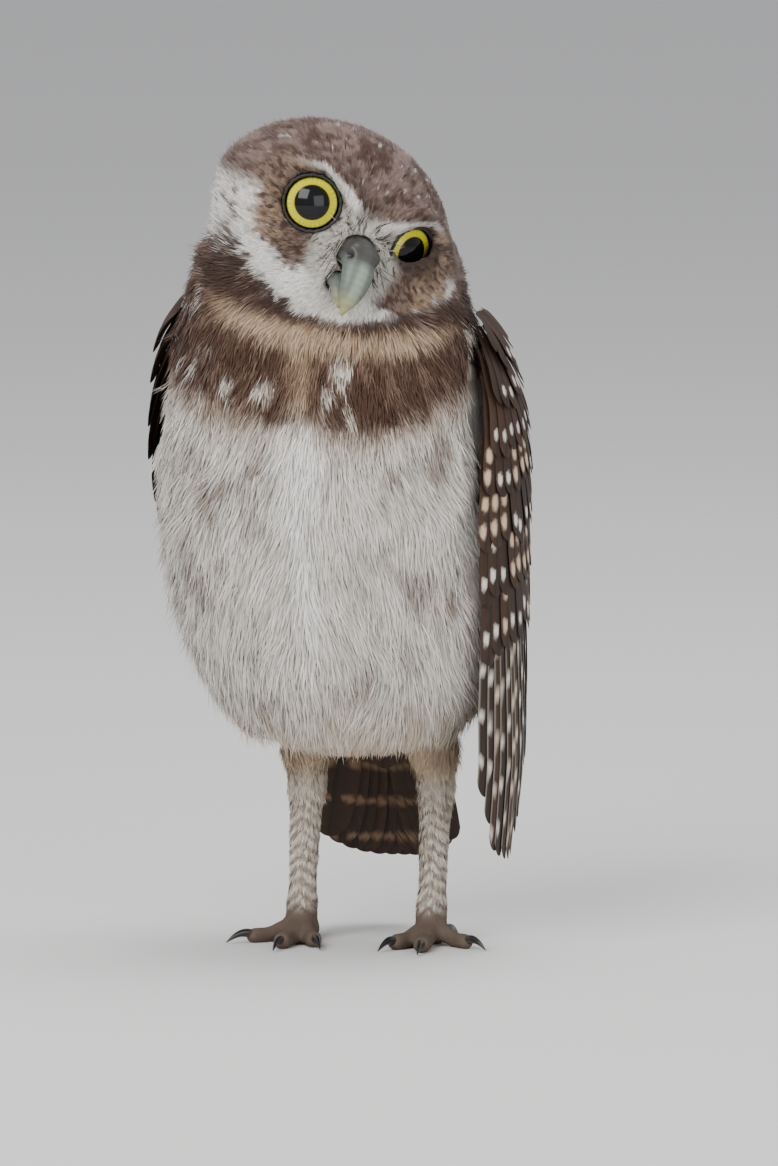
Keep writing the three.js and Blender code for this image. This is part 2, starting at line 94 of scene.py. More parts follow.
random = np.random.default_rng(7)
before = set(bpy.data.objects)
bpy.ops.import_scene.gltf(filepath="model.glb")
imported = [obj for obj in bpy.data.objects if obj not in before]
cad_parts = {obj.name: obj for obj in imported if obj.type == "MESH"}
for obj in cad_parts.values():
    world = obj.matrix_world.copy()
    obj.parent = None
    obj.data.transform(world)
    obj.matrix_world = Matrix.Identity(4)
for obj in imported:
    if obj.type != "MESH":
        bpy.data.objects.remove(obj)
cad_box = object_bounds()


def axis_turn(axis, degrees):
    """A rotation matrix about X, Y or Z."""
    c = math.cos(math.radians(degrees))
    s = math.sin(math.radians(degrees))
    i, j = [(1, 2), (2, 0), (0, 1)]["XYZ".index(axis)]
    matrix = np.eye(3)
    matrix[i, i] = matrix[j, j] = c
    matrix[i, j] = -s
    matrix[j, i] = s
    return matrix


HEAD = axis_turn("Z", HEAD_TURN) @ axis_turn("X", HEAD_NOD) @ axis_turn("Y", HEAD_TILT)


def to_head(points):
    return (points - HEAD_CENTRE) @ HEAD


def from_head(points):
    return np.asarray(points, float) @ HEAD.T + HEAD_CENTRE


def on_side(side, place):
    """A place that is given for the left, on either side: 1 is left and -1 is right."""
    return np.array([side * place[0], place[1], place[2]])


def head_reach(local, half_size=HEAD_HALF_SIZE):
    """How far out a place is from the head's middle: 1 at its outline."""
    return np.linalg.norm(local / half_size, axis=1)


def disc_reach(local):
    """How far out a place is on the facial disc, seen from ahead: 1 at its rim."""
    return np.hypot(local[:, 0] / DISC_HALF_WIDTH, (local[:, 2] - DISC_Z) / DISC_HALF_HEIGHT)


def leg_middle(x):
    """The middle of the leg on the same side as each place."""
    return LEGS_MIDDLE + np.where(x > LEGS_MIDDLE, LEG_SPACING, -LEG_SPACING)


def unit(vectors):
    return vectors / np.maximum(np.linalg.norm(vectors, axis=-1, keepdims=True), 1e-9)


def smooth(low, high, value):
    """0 below low, 1 above high, eased between."""
    t = np.clip((value - low) / (high - low), 0, 1)
    return t * t * (3 - 2 * t)


def colour(red, green, blue):
    """A display colour in 0 to 255 as linear light."""
    c = np.array([red, green, blue]) / 255
    return np.where(c <= 0.04045, c / 12.92, ((c + 0.055) / 1.055) ** 2.4)


def mix(a, b, share):
    return a + (b - a) * np.asarray(share)[..., None]


def noise(points, size, seed=0):
    """Smooth value noise in 0 to 1 with features of the given size."""
    p = points / size + 37.3 + 11.7 * seed
    cell = np.floor(p).astype(np.int64)
    f = p - cell
    f = f * f * (3 - 2 * f)
    total = 0
    for corner in np.ndindex(2, 2, 2):
        x, y, z = (cell + corner).T
        h = (x * 73856093) ^ (y * 19349663) ^ (z * 83492791) ^ (seed * 2654435)
        h = ((h ^ (h >> 13)) * 1274126177) & 0xFFFFFF
        total = total + np.where(corner, f, 1 - f).prod(1) * (h / 0xFFFFFF)
    return total


def profile(keys):
    """A smooth value through a few (place, value) keys."""
    places, values = np.array(keys, float).T
    slopes = np.gradient(values, places)

    def at(place):
        x = np.clip(place, places[0], places[-1])
        i = np.clip(np.searchsorted(places, x) - 1, 0, len(places) - 2)
        step = places[i + 1] - places[i]
        t = (x - places[i]) / step
        ease = values[i] + (values[i + 1] - values[i]) * t * t * (3 - 2 * t)
        return ease + step * (t * (1 - t) ** 2 * slopes[i] + t * t * (t - 1) * slopes[i + 1])

    return at


# Palette
WHITE = colour(240, 237, 231)
BELLY = colour(212, 206, 198)
BELLY_GREY = colour(158, 147, 138)
BAND = colour(82, 61, 51)
BAND_PALE = colour(128, 104, 90)
BUFF = colour(178, 150, 122)
BUFF_PALE = colour(206, 186, 160)
CROWN = colour(84, 66, 59)
CROWN_FROST = colour(142, 122, 114)
DISC = colour(124, 106, 94)
DISC_DARK = colour(78, 62, 54)
STRAP = colour(70, 54, 47)
LORES = colour(204, 197, 187)
LID = colour(40, 32, 29)
LID_RIM = colour(18, 15, 14)
IRIS_INNER = colour(220, 206, 8)
IRIS_OUTER = colour(250, 246, 66)
PUPIL = np.array([0.004, 0.004, 0.005])
HORN = colour(140, 152, 138)
HORN_SIDE = colour(96, 104, 96)
HORN_TIP = colour(150, 148, 104)
CERE = colour(58, 54, 52)
# painted shade: near black inside the nostrils
NOSTRIL_SHADE = np.array([0.01, 0.01, 0.01])
BRISTLE = colour(34, 28, 26)
CLAW_ROOT = colour(70, 60, 52)
CLAW_TIP = colour(24, 21, 20)
THIGH = colour(186, 164, 138)
TARSUS = colour(206, 196, 182)
TARSUS_DARK = colour(116, 98, 84)
TOE_SKIN = colour(120, 104, 92)
BACK = colour(84, 64, 50)
WING_DARK = colour(40, 29, 22)
WING_WARM = colour(78, 55, 40)
SPOT_WHITE = colour(232, 224, 210)
SPOT_BUFF = colour(206, 168, 128)


RELIEF = 0.0004  # metres
COAT_ROUGHNESS = 0.04


def fill(node, values):
    """Sets sockets of a node."""
    for socket, value in values.items():
        node.inputs[socket].default_value = value


def add(name, data):
    """A new object in the scene."""
    made = bpy.data.objects.new(name, data)
    bpy.context.scene.collection.objects.link(made)
    return made


def material(name, roughness, bump=0.0, scale=900.0, sheen=0.0, coat=0.0, specular=0.35, vary=0.12):
    """Colour from the mesh, broken up by fine noise that also raises the surface."""
    m = bpy.data.materials.new(name)
    m.use_nodes = True
    nodes = m.node_tree.nodes
    links = m.node_tree.links
    shader = nodes["Principled BSDF"]
    source = nodes.new("ShaderNodeAttribute")
    source.attribute_name = "Col"
    place = nodes.new("ShaderNodeTexCoord")
    grain = nodes.new("ShaderNodeTexNoise")
    fill(grain, {"Scale": scale, "Detail": 4.0})
    links.new(place.outputs["Object"], grain.inputs["Vector"])
    spread = nodes.new("ShaderNodeMapRange")
    fill(spread, {"To Min": 1 - vary, "To Max": 1 + vary})
    links.new(grain.outputs["Fac"], spread.inputs["Value"])
    tint = nodes.new("ShaderNodeVectorMath")
    tint.operation = "SCALE"
    links.new(source.outputs["Color"], tint.inputs[0])
    links.new(spread.outputs["Result"], tint.inputs["Scale"])
    links.new(tint.outputs["Vector"], shader.inputs["Base Color"])
    if bump:
        relief = nodes.new("ShaderNodeBump")
        fill(relief, {"Strength": bump, "Distance": RELIEF})
        links.new(grain.outputs["Fac"], relief.inputs["Height"])
        links.new(relief.outputs["Normal"], shader.inputs["Normal"])
    fill(shader, {"Roughness": roughness, "Specular IOR Level": specular, "Sheen Weight": sheen})
    fill(shader, {"Coat Weight": coat, "Coat Roughness": COAT_ROUGHNESS})
    return m


DOWN_LOOK = material("down", 1.0, sheen=0.12, specular=0.05)
FEATHER_LOOK = material("flight_feather", 0.62, bump=0.12, scale=1600, specular=0.3)
SKIN_LOOK = material("skin_under_coat", 0.95, bump=0.5, scale=1400, specular=0.1)
HORN_LOOK = material("bill_horn", 0.42, bump=0.2, scale=700, specular=0.4, coat=0.08, vary=0.14)
CLAW_LOOK = material("claw_horn", 0.3, bump=0.05, scale=700, specular=0.5, coat=0.2)
LID_LOOK = material("eyelid", 0.45, bump=0.3, scale=2500, specular=0.5)
EYE_LOOK = material("eye", 0.12, specular=0.15, coat=0.3, vary=0.03, scale=1200)


def make_mesh(name, points, faces, colours, look, slot, uv=None, normals=None):
    """A piece whose faces all have the same number of corners. Colours, uv and normals are by vertex."""
    mesh = bpy.data.meshes.new(name)
    points = (np.reshape(points, (-1, 3)) + BODY_SHIFT) * MM
    faces = np.asarray(faces, np.int32)
    mesh.vertices.add(len(points))
    mesh.vertices.foreach_set("co", points.astype(np.float32).ravel())
    mesh.loops.add(faces.size)
    mesh.loops.foreach_set("vertex_index", faces.ravel())
    mesh.polygons.add(len(faces))
    mesh.polygons.foreach_set("loop_start", np.arange(len(faces), dtype=np.int32) * faces.shape[1])
    mesh.update(calc_edges=True)
    mesh.validate()
    mesh.shade_smooth()
    layer = mesh.color_attributes.new("Col", "FLOAT_COLOR", "POINT")
    rgba = np.ones((len(points), 4), np.float32)
    rgba[:, :3] = np.clip(np.reshape(colours, (-1, 3)), 0, 1)
    layer.data.foreach_set("color", rgba.ravel())
    if uv is not None:
        corners = np.empty(len(mesh.loops), np.int32)
        mesh.loops.foreach_get("vertex_index", corners)
        places = np.reshape(uv, (-1, 2))[corners].astype(np.float32)
        mesh.uv_layers.new(name="OFBake").data.foreach_set("uv", places.ravel())
    if normals is not None:
        mesh.normals_split_custom_set_from_vertices(np.reshape(normals, (-1, 3)).astype(np.float32))
    piece = add(name, mesh)
    piece.data.materials.append(look)
    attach(piece, "root")
    return piece


# The skin under the coat

COLLAR_SMOOTHING = 160  # passes that melt the head into the ruff
DRAW_STEPS = 6  # passes that draw the skin in by the coat's depth
NODE_GAP = 0.3  # between the solids of the flesh
VOXEL = 1.0
DEPTH_HEIGHTS = [0, 8, 14, 44, 52, 62, 90, 150, 180]
BODY_DEPTHS = [0.1, 0.1, 0.8, 0.9, 1.6, 3.0, 4.2, 4.0, 2.8]
CROWN_DEPTH = 2.0
FACE_DEPTH = 0.8
LIMB_PARTS = ("thigh", "tarsus", "foot")
SKIN_SHADE = 0.6  # painted shade: the skin takes the coat's colours at this share, for the shade under the coat
FLESH = ["head", "neck", "torso"] + [f"{part}_{side}" for part in LIMB_PARTS for side in ("left", "right")]


def coat_depth(points):
    """How far the skin lies inside the solids: the thickness of the coat."""
    local = to_head(points)
    depth = np.interp(points[:, 2], DEPTH_HEIGHTS, BODY_DEPTHS)
    in_head = smooth(1.25, 1.0, head_reach(local, HEAD_SKIN_HALF_SIZE))
    face = smooth(4, -14, local[:, 1])
    return depth * (1 - in_head) + in_head * (CROWN_DEPTH - (CROWN_DEPTH - FACE_DEPTH) * face)


def mesh_arrays(mesh):
    """The vertices of a mesh, and its triangles."""
    points = np.empty(len(mesh.vertices) * 3)
    mesh.vertices.foreach_get("co", points)
    mesh.calc_loop_triangles()
    tris = np.empty(len(mesh.loop_triangles) * 3, np.int32)
    mesh.loop_triangles.foreach_get("vertices", tris)
    return points.reshape(-1, 3), tris.reshape(-1, 3)


def flesh_skin():
    """One closed surface over all the nodes of flesh, relaxed and drawn in by the depth of the coat."""
    points = []
    faces = []
    for name in FLESH:
        co, tris = mesh_arrays(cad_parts[name].data)
        co, merged = np.unique(np.round(co / MM, 4), axis=0, return_inverse=True)
        tris = merged.ravel()[tris]
        faces.append(tris + sum(len(p) for p in points))
        points.append(co + NODE_GAP * vertex_normals(co, tris) - BODY_SHIFT)
    joined = bpy.data.meshes.new("flesh")
    joined.from_pydata(np.concatenate(points).tolist(), [], np.concatenate(faces).tolist())
    body = add("flesh", joined)
    remesh = body.modifiers.new("close", "REMESH")
    remesh.mode = "VOXEL"
    remesh.voxel_size = VOXEL
    relax = body.modifiers.new("relax", "SMOOTH")
    relax.factor = 0.5
    relax.iterations = 5
    evaluated = body.evaluated_get(bpy.context.evaluated_depsgraph_get())
    co, tris = mesh_arrays(evaluated.to_mesh())
    evaluated.to_mesh_clear()
    bpy.data.objects.remove(body)
    used, tris = np.unique(tris, return_inverse=True)
    tris = tris.reshape(-1, 3)
    co = co[used]
    for _ in range(DRAW_STEPS):
        co = co - vertex_normals(co, tris) * coat_depth(co)[:, None] / DRAW_STEPS
        fine = smooth(12, 20, co[:, 2])[:, None]
        co = co + (neighbours_mean(co, tris) - co) * 0.5 * fine
    behind = smooth(-12, -2, to_head(co)[:, 1])
    collar = smooth(174, 184, co[:, 2]) * smooth(220, 206, co[:, 2]) * behind
    for _ in range(COLLAR_SMOOTHING):
        co = co + (neighbours_mean(co, tris) - co) * 0.5 * collar[:, None]
    return co, tris


def vertex_normals(points, tris):
    face = np.cross(points[tris[:, 1]] - points[tris[:, 0]], points[tris[:, 2]] - points[tris[:, 0]])
    normal = np.zeros_like(points)
    for k in range(3):
        for axis in range(3):
            normal[:, axis] += np.bincount(tris[:, k], face[:, axis], len(points))
    return unit(normal)


def neighbours_mean(points, tris):
    total = np.zeros_like(points)
    count = np.zeros(len(points))
    for a, b in ((0, 1), (1, 2), (2, 0), (1, 0), (2, 1), (0, 2)):
        count += np.bincount(tris[:, a], minlength=len(points))
        for axis in range(3):
            total[:, axis] += np.bincount(tris[:, a], points[tris[:, b], axis], len(points))
    return total / np.maximum(count, 1)[:, None]


# Markings, as a colour for a place on the body. Fine streaks follow the seeds, the roots of the feathers.

def in_view(points):
    """Distance to the right and upward as the camera sees it."""
    a = math.radians(AZIMUTH)
    e = math.radians(ELEVATION)
    across = points[:, 0] * math.cos(a) + points[:, 1] * math.sin(a)
    return across, points[:, 2] * math.cos(e) + points[:, 1] * math.sin(e)


def patch(across, up, middle, size, soft=0.3):
    """1 inside an oval spot, 0 outside."""
    reach = np.hypot((across - middle[0]) / size[0], (up - middle[1]) / size[1])
    return smooth(1 + soft, 1 - soft, reach)


def head_colours(local, seeds):
    """Frosted brown crown, barred brown disc, white brows and a white crescent round the lower face."""
    x, y, z = local.T
    side = np.abs(x)
    frost = noise(seeds, 1.5, 3) * 0.6 + noise(seeds, 6, 4) * 0.4
    out = mix(CROWN, CROWN_FROST, smooth(0.3, 0.75, frost) * 0.85)
    flecks = smooth(0.84, 0.92, noise(seeds, 1.4, 9)) * smooth(4, 12, z)
    out = mix(out, WHITE, flecks * 0.45)
    front = smooth(2, -10, y)
    ring = disc_reach(local)
    edge = ring + 0.14 * (noise(seeds, 1.3, 21) - 0.5)
    disc = front * smooth(1.02, 0.9, ring) * smooth(13, 7, z - 0.2 * side)
    barred = mix(DISC, DISC_DARK, smooth(0.4, 0.6, noise(seeds, 0.9, 22)))
    out = mix(out, barred, disc * 0.85)
    inner = np.interp(side, [6, 15, 21, 27, 33], [0.62, 0.76, 0.83, 0.86, 0.87])
    outer = np.interp(side, [6, 16, 26, 33], [1.05, 1.01, 0.98, 0.97])
    crescent = smooth(inner - 0.06, inner + 0.05, edge) * smooth(outer + 0.04, outer - 0.04, edge)
    out = mix(out, WHITE, crescent * smooth(3, -3, z) * smooth(14, 6, y) * 0.95)
    under = patch(side, z, (0, -17), (9, 6), 0.4) * front
    out = mix(out, LORES, under * 0.6)
    out = mix(out, WHITE, patch(side, z, (8, -9), (4, 8), 0.5) * front * 0.5)
    strap = smooth(outer - 0.01, outer + 0.06, edge) * smooth(1, -5, z)
    out = mix(out, mix(STRAP, BAND_PALE, smooth(0.5, 0.8, frost)), strap * 0.9)
    brow_z = np.interp(side, [2, 6.4, 12, 18.5, 27], [1.5, 6, 9.8, 12.8, 10.6])
    thick = np.interp(side, [2, 8, 14, 27], [3.0, 1.7, 1.0, 0.8])
    ragged = 1 + 0.5 * (noise(seeds, 1.2, 23) - 0.5)
    brow = front * smooth(thick * 1.4, thick * 0.6, np.abs(z - brow_z) * ragged) * smooth(27, 17, side)
    out = mix(out, WHITE, brow * 0.92)
    root = np.hypot(side - 4, z + 3)
    lores = front * smooth(12, 7, root) * smooth(-16, -10, z)
    out = mix(out, mix(LORES, STRAP, smooth(0.66, 0.8, noise(seeds, 0.8, 24))), lores * 0.75)
    warm = patch(side, z, (25, -4), (6, 9), 0.5) + patch(side, z, (22, 10), (5, 2), 0.5)
    out = mix(out, BUFF, front * np.clip(warm, 0, 1) * smooth(0.35, 0.6, noise(seeds, 1.0, 25)) * 0.55)
    to_eye = np.linalg.norm(np.stack([side, y, z], 1) - EYE_RING, axis=1)
    return mix(out, LID, smooth(8.7, 7.7, to_eye) * 0.6)


# Lines across the breast and spots on it, by distance to the right and upward in the photograph's view
BUFF_BAND = profile([(-40, 181), (-27, 172.5), (-13, 168), (1, 166), (15, 166.6), (24, 169), (34, 174)])
BAND_FOOT = profile([
    (-50, 159), (-37, 149.5), (-27, 145), (-15, 143.5), (1, 141), (15, 144), (29, 152), (36, 159),
])
BREAST_SPOTS = [
    ((-32, 153.5), (2.0, 1.7)),
    ((-22, 153), (2.9, 1.9)),
    ((-1, 159), (2.9, 1.9)),
    ((-4.6, 151.5), (1.9, 1.6)),
    ((-1.2, 155), (2.4, 1.0)),
    ((1.5, 146), (1.3, 2.0)),
    ((34.6, 160.5), (1.8, 2.4)),
    ((33.8, 169), (1.5, 1.8)),
]


def trunk_colours(points, seeds):
    """Pale down with a white parting, a dark band across the breast and a buff collar under the face."""
    across, up = in_view(points)
    y, z = points[:, 1], points[:, 2]
    front = smooth(18, 8, y)
    streak = noise(seeds * (1, 1, 0.4), 1.5, 1)
    tuft = noise(seeds, 4.5, 26)
    blotch = noise(seeds, 13, 2)
    grey = smooth(0.42, 0.8, streak * 0.35 + tuft * 0.4 + blotch * 0.25)
    belly = mix(BELLY, BELLY_GREY, grey * 0.8)
    brown = smooth(0.66, 0.8, tuft) * smooth(3, 16, np.abs(across - PARTING)) * smooth(0.45, 0.65, blotch)
    belly = mix(belly, BAND_PALE, brown * 0.6)
    line = -12 + 4 * smooth(125, 80, z)
    parting = np.exp(-(((across - line) / (3.5 + 4 * smooth(118, 138, z))) ** 2)) * smooth(70, 95, z)
    belly = mix(belly, WHITE, np.clip(parting * 0.9 + smooth(0.6, 0.3, streak) * 0.35, 0, 1))
    belly = mix(belly, THIGH, smooth(76, 58, z) * (0.35 + 0.5 * smooth(0.4, 0.7, tuft)))
    raised = 3 * np.exp(-(((across - PARTING) / 5) ** 2))
    foot = BAND_FOOT(across) + 7 * (tuft - 0.5) + 5 * (streak - 0.5) + raised
    band = mix(BAND, BAND_PALE, smooth(0.45, 0.85, noise(seeds, 1.5, 5)) * 0.7)
    out = mix(belly, BUFF, smooth(foot - 9, foot - 1, up) * 0.5)
    out = mix(out, band, smooth(foot - 3, foot + 3, up))
    tongue = np.exp(-(((across + 12) / 3.2) ** 2)) * smooth(144, 152, up)
    out = mix(out, BUFF, tongue * (0.35 + 0.5 * streak))
    for middle, size in BREAST_SPOTS:
        out = mix(out, SPOT_WHITE, patch(across, up, middle, size) * 0.9)
    high = up - BUFF_BAND(across)
    half = np.interp(across, [-40, -20, 0, 20, 32], [3.6, 3.6, 3.0, 2.2, 0.6])
    collar = smooth(half + 1.6, half - 1, np.abs(high + 2 * (streak - 0.5)))
    out = mix(out, mix(BUFF, BUFF_PALE, 0.6 * streak), collar * 0.9 * smooth(36, 26, np.abs(across + 3)))
    ruff = smooth(half, half + 2.5, high)
    out = mix(out, mix(STRAP, CROWN_FROST, smooth(0.5, 0.85, tuft * 0.5 + streak * 0.5)), ruff)
    speck = smooth(0.74, 0.82, noise(seeds, 2.4, 27)) * smooth(-34, -42, across) * smooth(150, 158, up)
    out = mix(out, BELLY, speck * 0.7)
    out = mix(out, BELLY_GREY, smooth(36, 46, across) * 0.5 * smooth(foot, foot - 10, up))
    back = mix(BACK, BUFF, smooth(0.72, 0.8, noise(seeds, 3.5, 8)) * 0.7)
    return mix(back, out, front)


def leg_colours(points, seeds):
    """Buff thighs, pale shanks with brown chevrons down the front, and brown scaly toes."""
    x, _, z = points.T
    step = (z + 0.9 * np.abs(x - leg_middle(x)) + 1.2 * noise(seeds, 2.0, 6)) / 3.4
    chevron = smooth(0.35, 0.75, 0.5 + 0.5 * np.sin(2 * math.pi * step))
    shank = mix(TARSUS, TARSUS_DARK, chevron * 0.7 * smooth(48, 36, z) + 0.2 * smooth(14, 8, z))
    out = mix(shank, THIGH, smooth(40, 52, z))
    return mix(TOE_SKIN, out, smooth(7, 11, z))


def paint(points, seeds):
    """The coat's colour at each place."""
    local = to_head(points)
    in_head = smooth(1.16, 1.08, head_reach(local))
    out = mix(trunk_colours(points, seeds), head_colours(local, seeds), in_head)
    return mix(leg_colours(points, seeds), out, smooth(54, 61, points[:, 2]))


def lie(points, normals):
    """The way the coat lies: down the body from a parting, back from the bill, and out round each eye."""
    across, up = in_view(points)
    beside = across - PARTING
    apart = np.tanh(beside / 4) * np.exp(-np.abs(beside) / 22) * smooth(66, 90, up)
    down = np.array([0.0, 0.12, -1.0]) + (0.62 * apart * smooth(156, 136, up))[:, None] * (1, 0, 0)
    legs = smooth(46, 38, points[:, 2])
    x = points[:, 0]
    down = down + (0.35 * legs * np.clip((x - leg_middle(x)) / 4, -1, 1))[:, None] * (1, 0, 0)
    local = to_head(points)
    in_head = smooth(1.3, 1.05, head_reach(local))
    flow = unit(local - BILL_ROOT)
    for side in (-1, 1):
        away = local - on_side(side, EYE_WHORL)
        near = np.exp(-((np.linalg.norm(away, axis=1) / 12) ** 2))
        flow = flow * (1 - near[:, None]) + unit(away) * near[:, None]
    way = unit(down) * (1 - in_head)[:, None] + unit(flow) @ HEAD.T * in_head[:, None]
    way = way - normals * (way * normals).sum(1, keepdims=True)
    return unit(way)


# The coat

COAT_HEIGHTS = [0, 9, 12, 40, 50, 58, 68, 90, 140, 165, 190]
COAT_LENGTHS = [0.8, 0.9, 2.4, 3.2, 4.5, 8, 12, 12.5, 11, 8.5, 7.5]
COAT_WIDTHS = [0.2, 0.2, 0.3, 0.32, 0.34, 0.34, 0.36, 0.36, 0.36, 0.34, 0.32]
COAT_DENSITIES = [0.0, 0.0, 9.0, 9.0, 8.0, 7.2, 6.8, 6.6, 6.8, 7.6, 8.2]
COAT_LIFTS = [10, 10, 18, 20, 24, 30, 34, 35, 32, 28, 28]


def coat_plan(points):
    """For each place: length, width, lift in degrees and blades per square millimetre."""
    local = to_head(points)
    in_head = smooth(1.2, 1.06, head_reach(local))
    face = smooth(-4, -16, local[:, 1]) * in_head
    low = smooth(12, 0, local[:, 2]) * smooth(18, 8, local[:, 1])
    ruff = in_head * smooth(0.9, 1.04, disc_reach(local)) * low
    length, width, density, lift = (
        np.interp(points[:, 2], COAT_HEIGHTS, values)
        for values in (COAT_LENGTHS, COAT_WIDTHS, COAT_DENSITIES, COAT_LIFTS)
    )
    length = length * (1 - in_head) + in_head * (5.0 - 3.0 * face + 4.4 * ruff)
    width = width * (1 - in_head) + in_head * (0.27 - 0.09 * face)
    density = density * (1 - in_head) + in_head * (12.5 + 7.0 * face)
    lift = lift * (1 - in_head) + in_head * (29 - 6 * face + 8 * ruff)
    return length, width, lift, density


BLADE_PLACES = np.array([0.0, 0.55, 1.0])
BLADE_WIDTHS = np.array([0.8, 1.0])
# Brightness along a blade, darker at the root and lighter at the tip: painted shade deep in the coat and
# painted light on the tips.
BLADE_SHADES = np.array([0.68, 0.94, 1.08])
BLADE_FACES = np.array([[0, 2, 1], [1, 2, 3], [2, 4, 3]])
BLADE_PATCH = np.array([[-1, -1], [1, -1], [-1, 0.1], [1, 0.1], [0, 1]]) * 0.0014
BLADES_IN_TUFT = 7
PIECE_HEIGHTS = [50, 80, 104, 128, 152]  # where the body's coat is split into pieces
FACE_PIECE = 100
CROWN_PIECE = 101


def blade_faces(count):
    return (BLADE_FACES[None] + 5 * np.arange(count)[:, None, None]).reshape(-1, 3)


def blades(root, normal, way, length, width, lift, curl, roll):
    """Curved tapering blades. Returns points by blade and vertex, and normals."""
    side = unit(np.cross(normal, way))
    side = unit(side * np.cos(roll)[:, None] + normal * np.sin(roll)[:, None])
    t = BLADE_PLACES[None, :, None]
    rise = np.sin(lift)[:, None, None] * t - curl[:, None, None] * t * t
    run = np.cos(lift)[:, None, None] * t
    line = root[:, None] + length[:, None, None] * (way[:, None] * run + normal[:, None] * rise)
    half = 0.5 * width[:, None, None] * BLADE_WIDTHS[None, :, None] * side[:, None]
    points = np.empty((len(root), 5, 3))
    points[:, 0:4:2] = line[:, :2] - half
    points[:, 1:4:2] = line[:, :2] + half
    points[:, 4] = line[:, 2]
    tangent = unit(np.gradient(line, axis=1))
    face = unit(np.cross(tangent, np.broadcast_to(side[:, None], tangent.shape)))
    face *= np.sign((face * normal[:, None]).sum(-1, keepdims=True) + 1e-9)
    return points, np.repeat(face, 2, axis=1)[:, :5]


def tuft_roots(skin, tris, normals, bake_uv):
    """Random roots over the skin, each with its normal and its place on the skin's unwrap."""
    a, b, c = (skin[tris[:, k]] for k in range(3))
    area = np.linalg.norm(np.cross(b - a, c - a), axis=1) / 2
    density = coat_plan((a + b + c) / 3)[3] / BLADES_IN_TUFT
    wanted = area * density * COAT_SHARE
    count = np.floor(wanted + random.random(len(wanted))).astype(int)
    tri = np.repeat(np.arange(len(tris)), count)
    u, v = random.random((2, len(tri)))
    flip = u + v > 1
    u[flip], v[flip] = 1 - u[flip], 1 - v[flip]
    w = np.stack([1 - u - v, u, v], 1)[..., None]
    root = (skin[tris[tri]] * w).sum(1)
    normal = unit((normals[tris[tri]] * w).sum(1))
    uv = (bake_uv[tri] * w).sum(1)
    keep = ~(in_sockets(root) | under_wings(root, normal))
    return root[keep], normal[keep], uv[keep]


def grow_coat(skin, tris, normals, bake_uv):
    """Tufts over the whole skin, each a fan of blades."""
    root, normal, uv = tuft_roots(skin, tris, normals, bake_uv)
    length, width, lift, _ = coat_plan(root)
    way = lie(root, normal)
    swirl = (noise(root, 11, 12) - 0.5) * 0.9 + (noise(root, 4, 13) - 0.5) * 0.5
    aside = np.cross(normal, way)
    way = unit(way * np.cos(swirl)[:, None] + aside * np.sin(swirl)[:, None])
    tone = random.normal(1, 0.07, len(root))
    along = [root + way * (length * share)[:, None] for share in (0.1, 0.5, 0.85)]
    # each blade is painted darker towards its root and lighter at its tip: painted shade and light in the
    # coat
    bands = np.stack([paint(place, root) * shade for place, shade in zip(along, BLADE_SHADES)], 1)
    bands = (bands * tone[:, None, None])[:, [0, 0, 1, 1, 2]]
    n = BLADES_IN_TUFT
    fan = np.linspace(-1, 1, n)[None] + random.normal(0, 0.3, (len(root), n))
    offset = (fan * np.clip(length * 0.11, 0.25, 1.1)[:, None]).ravel()

    def each(values):
        return np.repeat(values, n, axis=0)

    way_n = each(way)
    normal_n = each(normal)
    side_n = unit(np.cross(normal_n, way_n))
    shorter = (1 - 0.2 * fan.ravel() ** 2).clip(0.5, 1)
    long = each(length) * shorter * random.normal(1, 0.13, fan.size).clip(0.6, 1.4)
    gather = -0.55 * offset / long + random.normal(0, 0.09, fan.size)
    blade_way = unit(way_n + side_n * gather[:, None])
    slip = random.normal(0, 0.1, fan.size) * each(length)
    blade_root = each(root) + side_n * offset[:, None] + way_n * slip[:, None]
    blade_lift = np.radians(each(lift)) * random.uniform(0.6, 1.2, fan.size)
    curl = np.sin(blade_lift) * random.uniform(0.35, 0.85, fan.size)
    stray = random.random(fan.size) < STRAYS
    curl[stray] *= 0.3
    roll = random.normal(0, 0.35, fan.size)
    points, face = blades(blade_root, normal_n, blade_way, long, each(width), blade_lift, curl, roll)
    colours = each(bands) * random.normal(1, 0.06, fan.size)[:, None, None]
    uvs = each(uv)[:, None] + BLADE_PATCH[None]
    coat_pieces(each(root), points, colours, uvs, unit(face * 0.3 + normal_n[:, None]))


def coat_pieces(root, points, colours, uvs, normals):
    """Joins the blades into pieces by where they grow: up the body, and the face and crown apart."""
    local = to_head(root)
    level = np.digitize(root[:, 2], PIECE_HEIGHTS)
    level = np.where(head_reach(local) < 1.12, np.where(local[:, 1] < -4, FACE_PIECE, CROWN_PIECE), level)
    for k in np.unique(level):
        chosen = np.nonzero(level == k)[0]
        parts = max(1, math.ceil(len(chosen) * len(BLADE_FACES) / PIECE_LIMIT))
        slot = "crown" if k >= FACE_PIECE else ("leg" if k == 0 else "breast")
        for part, some in enumerate(np.array_split(chosen, parts)):
            faces = blade_faces(len(some))
            name = f"coat_{k}_{part}"
            make_mesh(name, points[some], faces, colours[some], DOWN_LOOK, slot, uvs[some], normals[some])


def in_sockets(points):
    """Whether a place is in the bare ring round an eye, or under the bill."""
    local = to_head(points)
    low, high = BILL_SEAT
    bare = ((local > low) & (local < high)).all(1)
    for side in (-1, 1):
        middle, _, _, outward = eye_frame(side)
        away = local - middle
        along = away @ outward
        radius = np.linalg.norm(away - along[:, None] * outward, axis=1)
        bare |= (radius < OPENING_RADIUS + BARE_RIM) & (along > 0)
    return bare


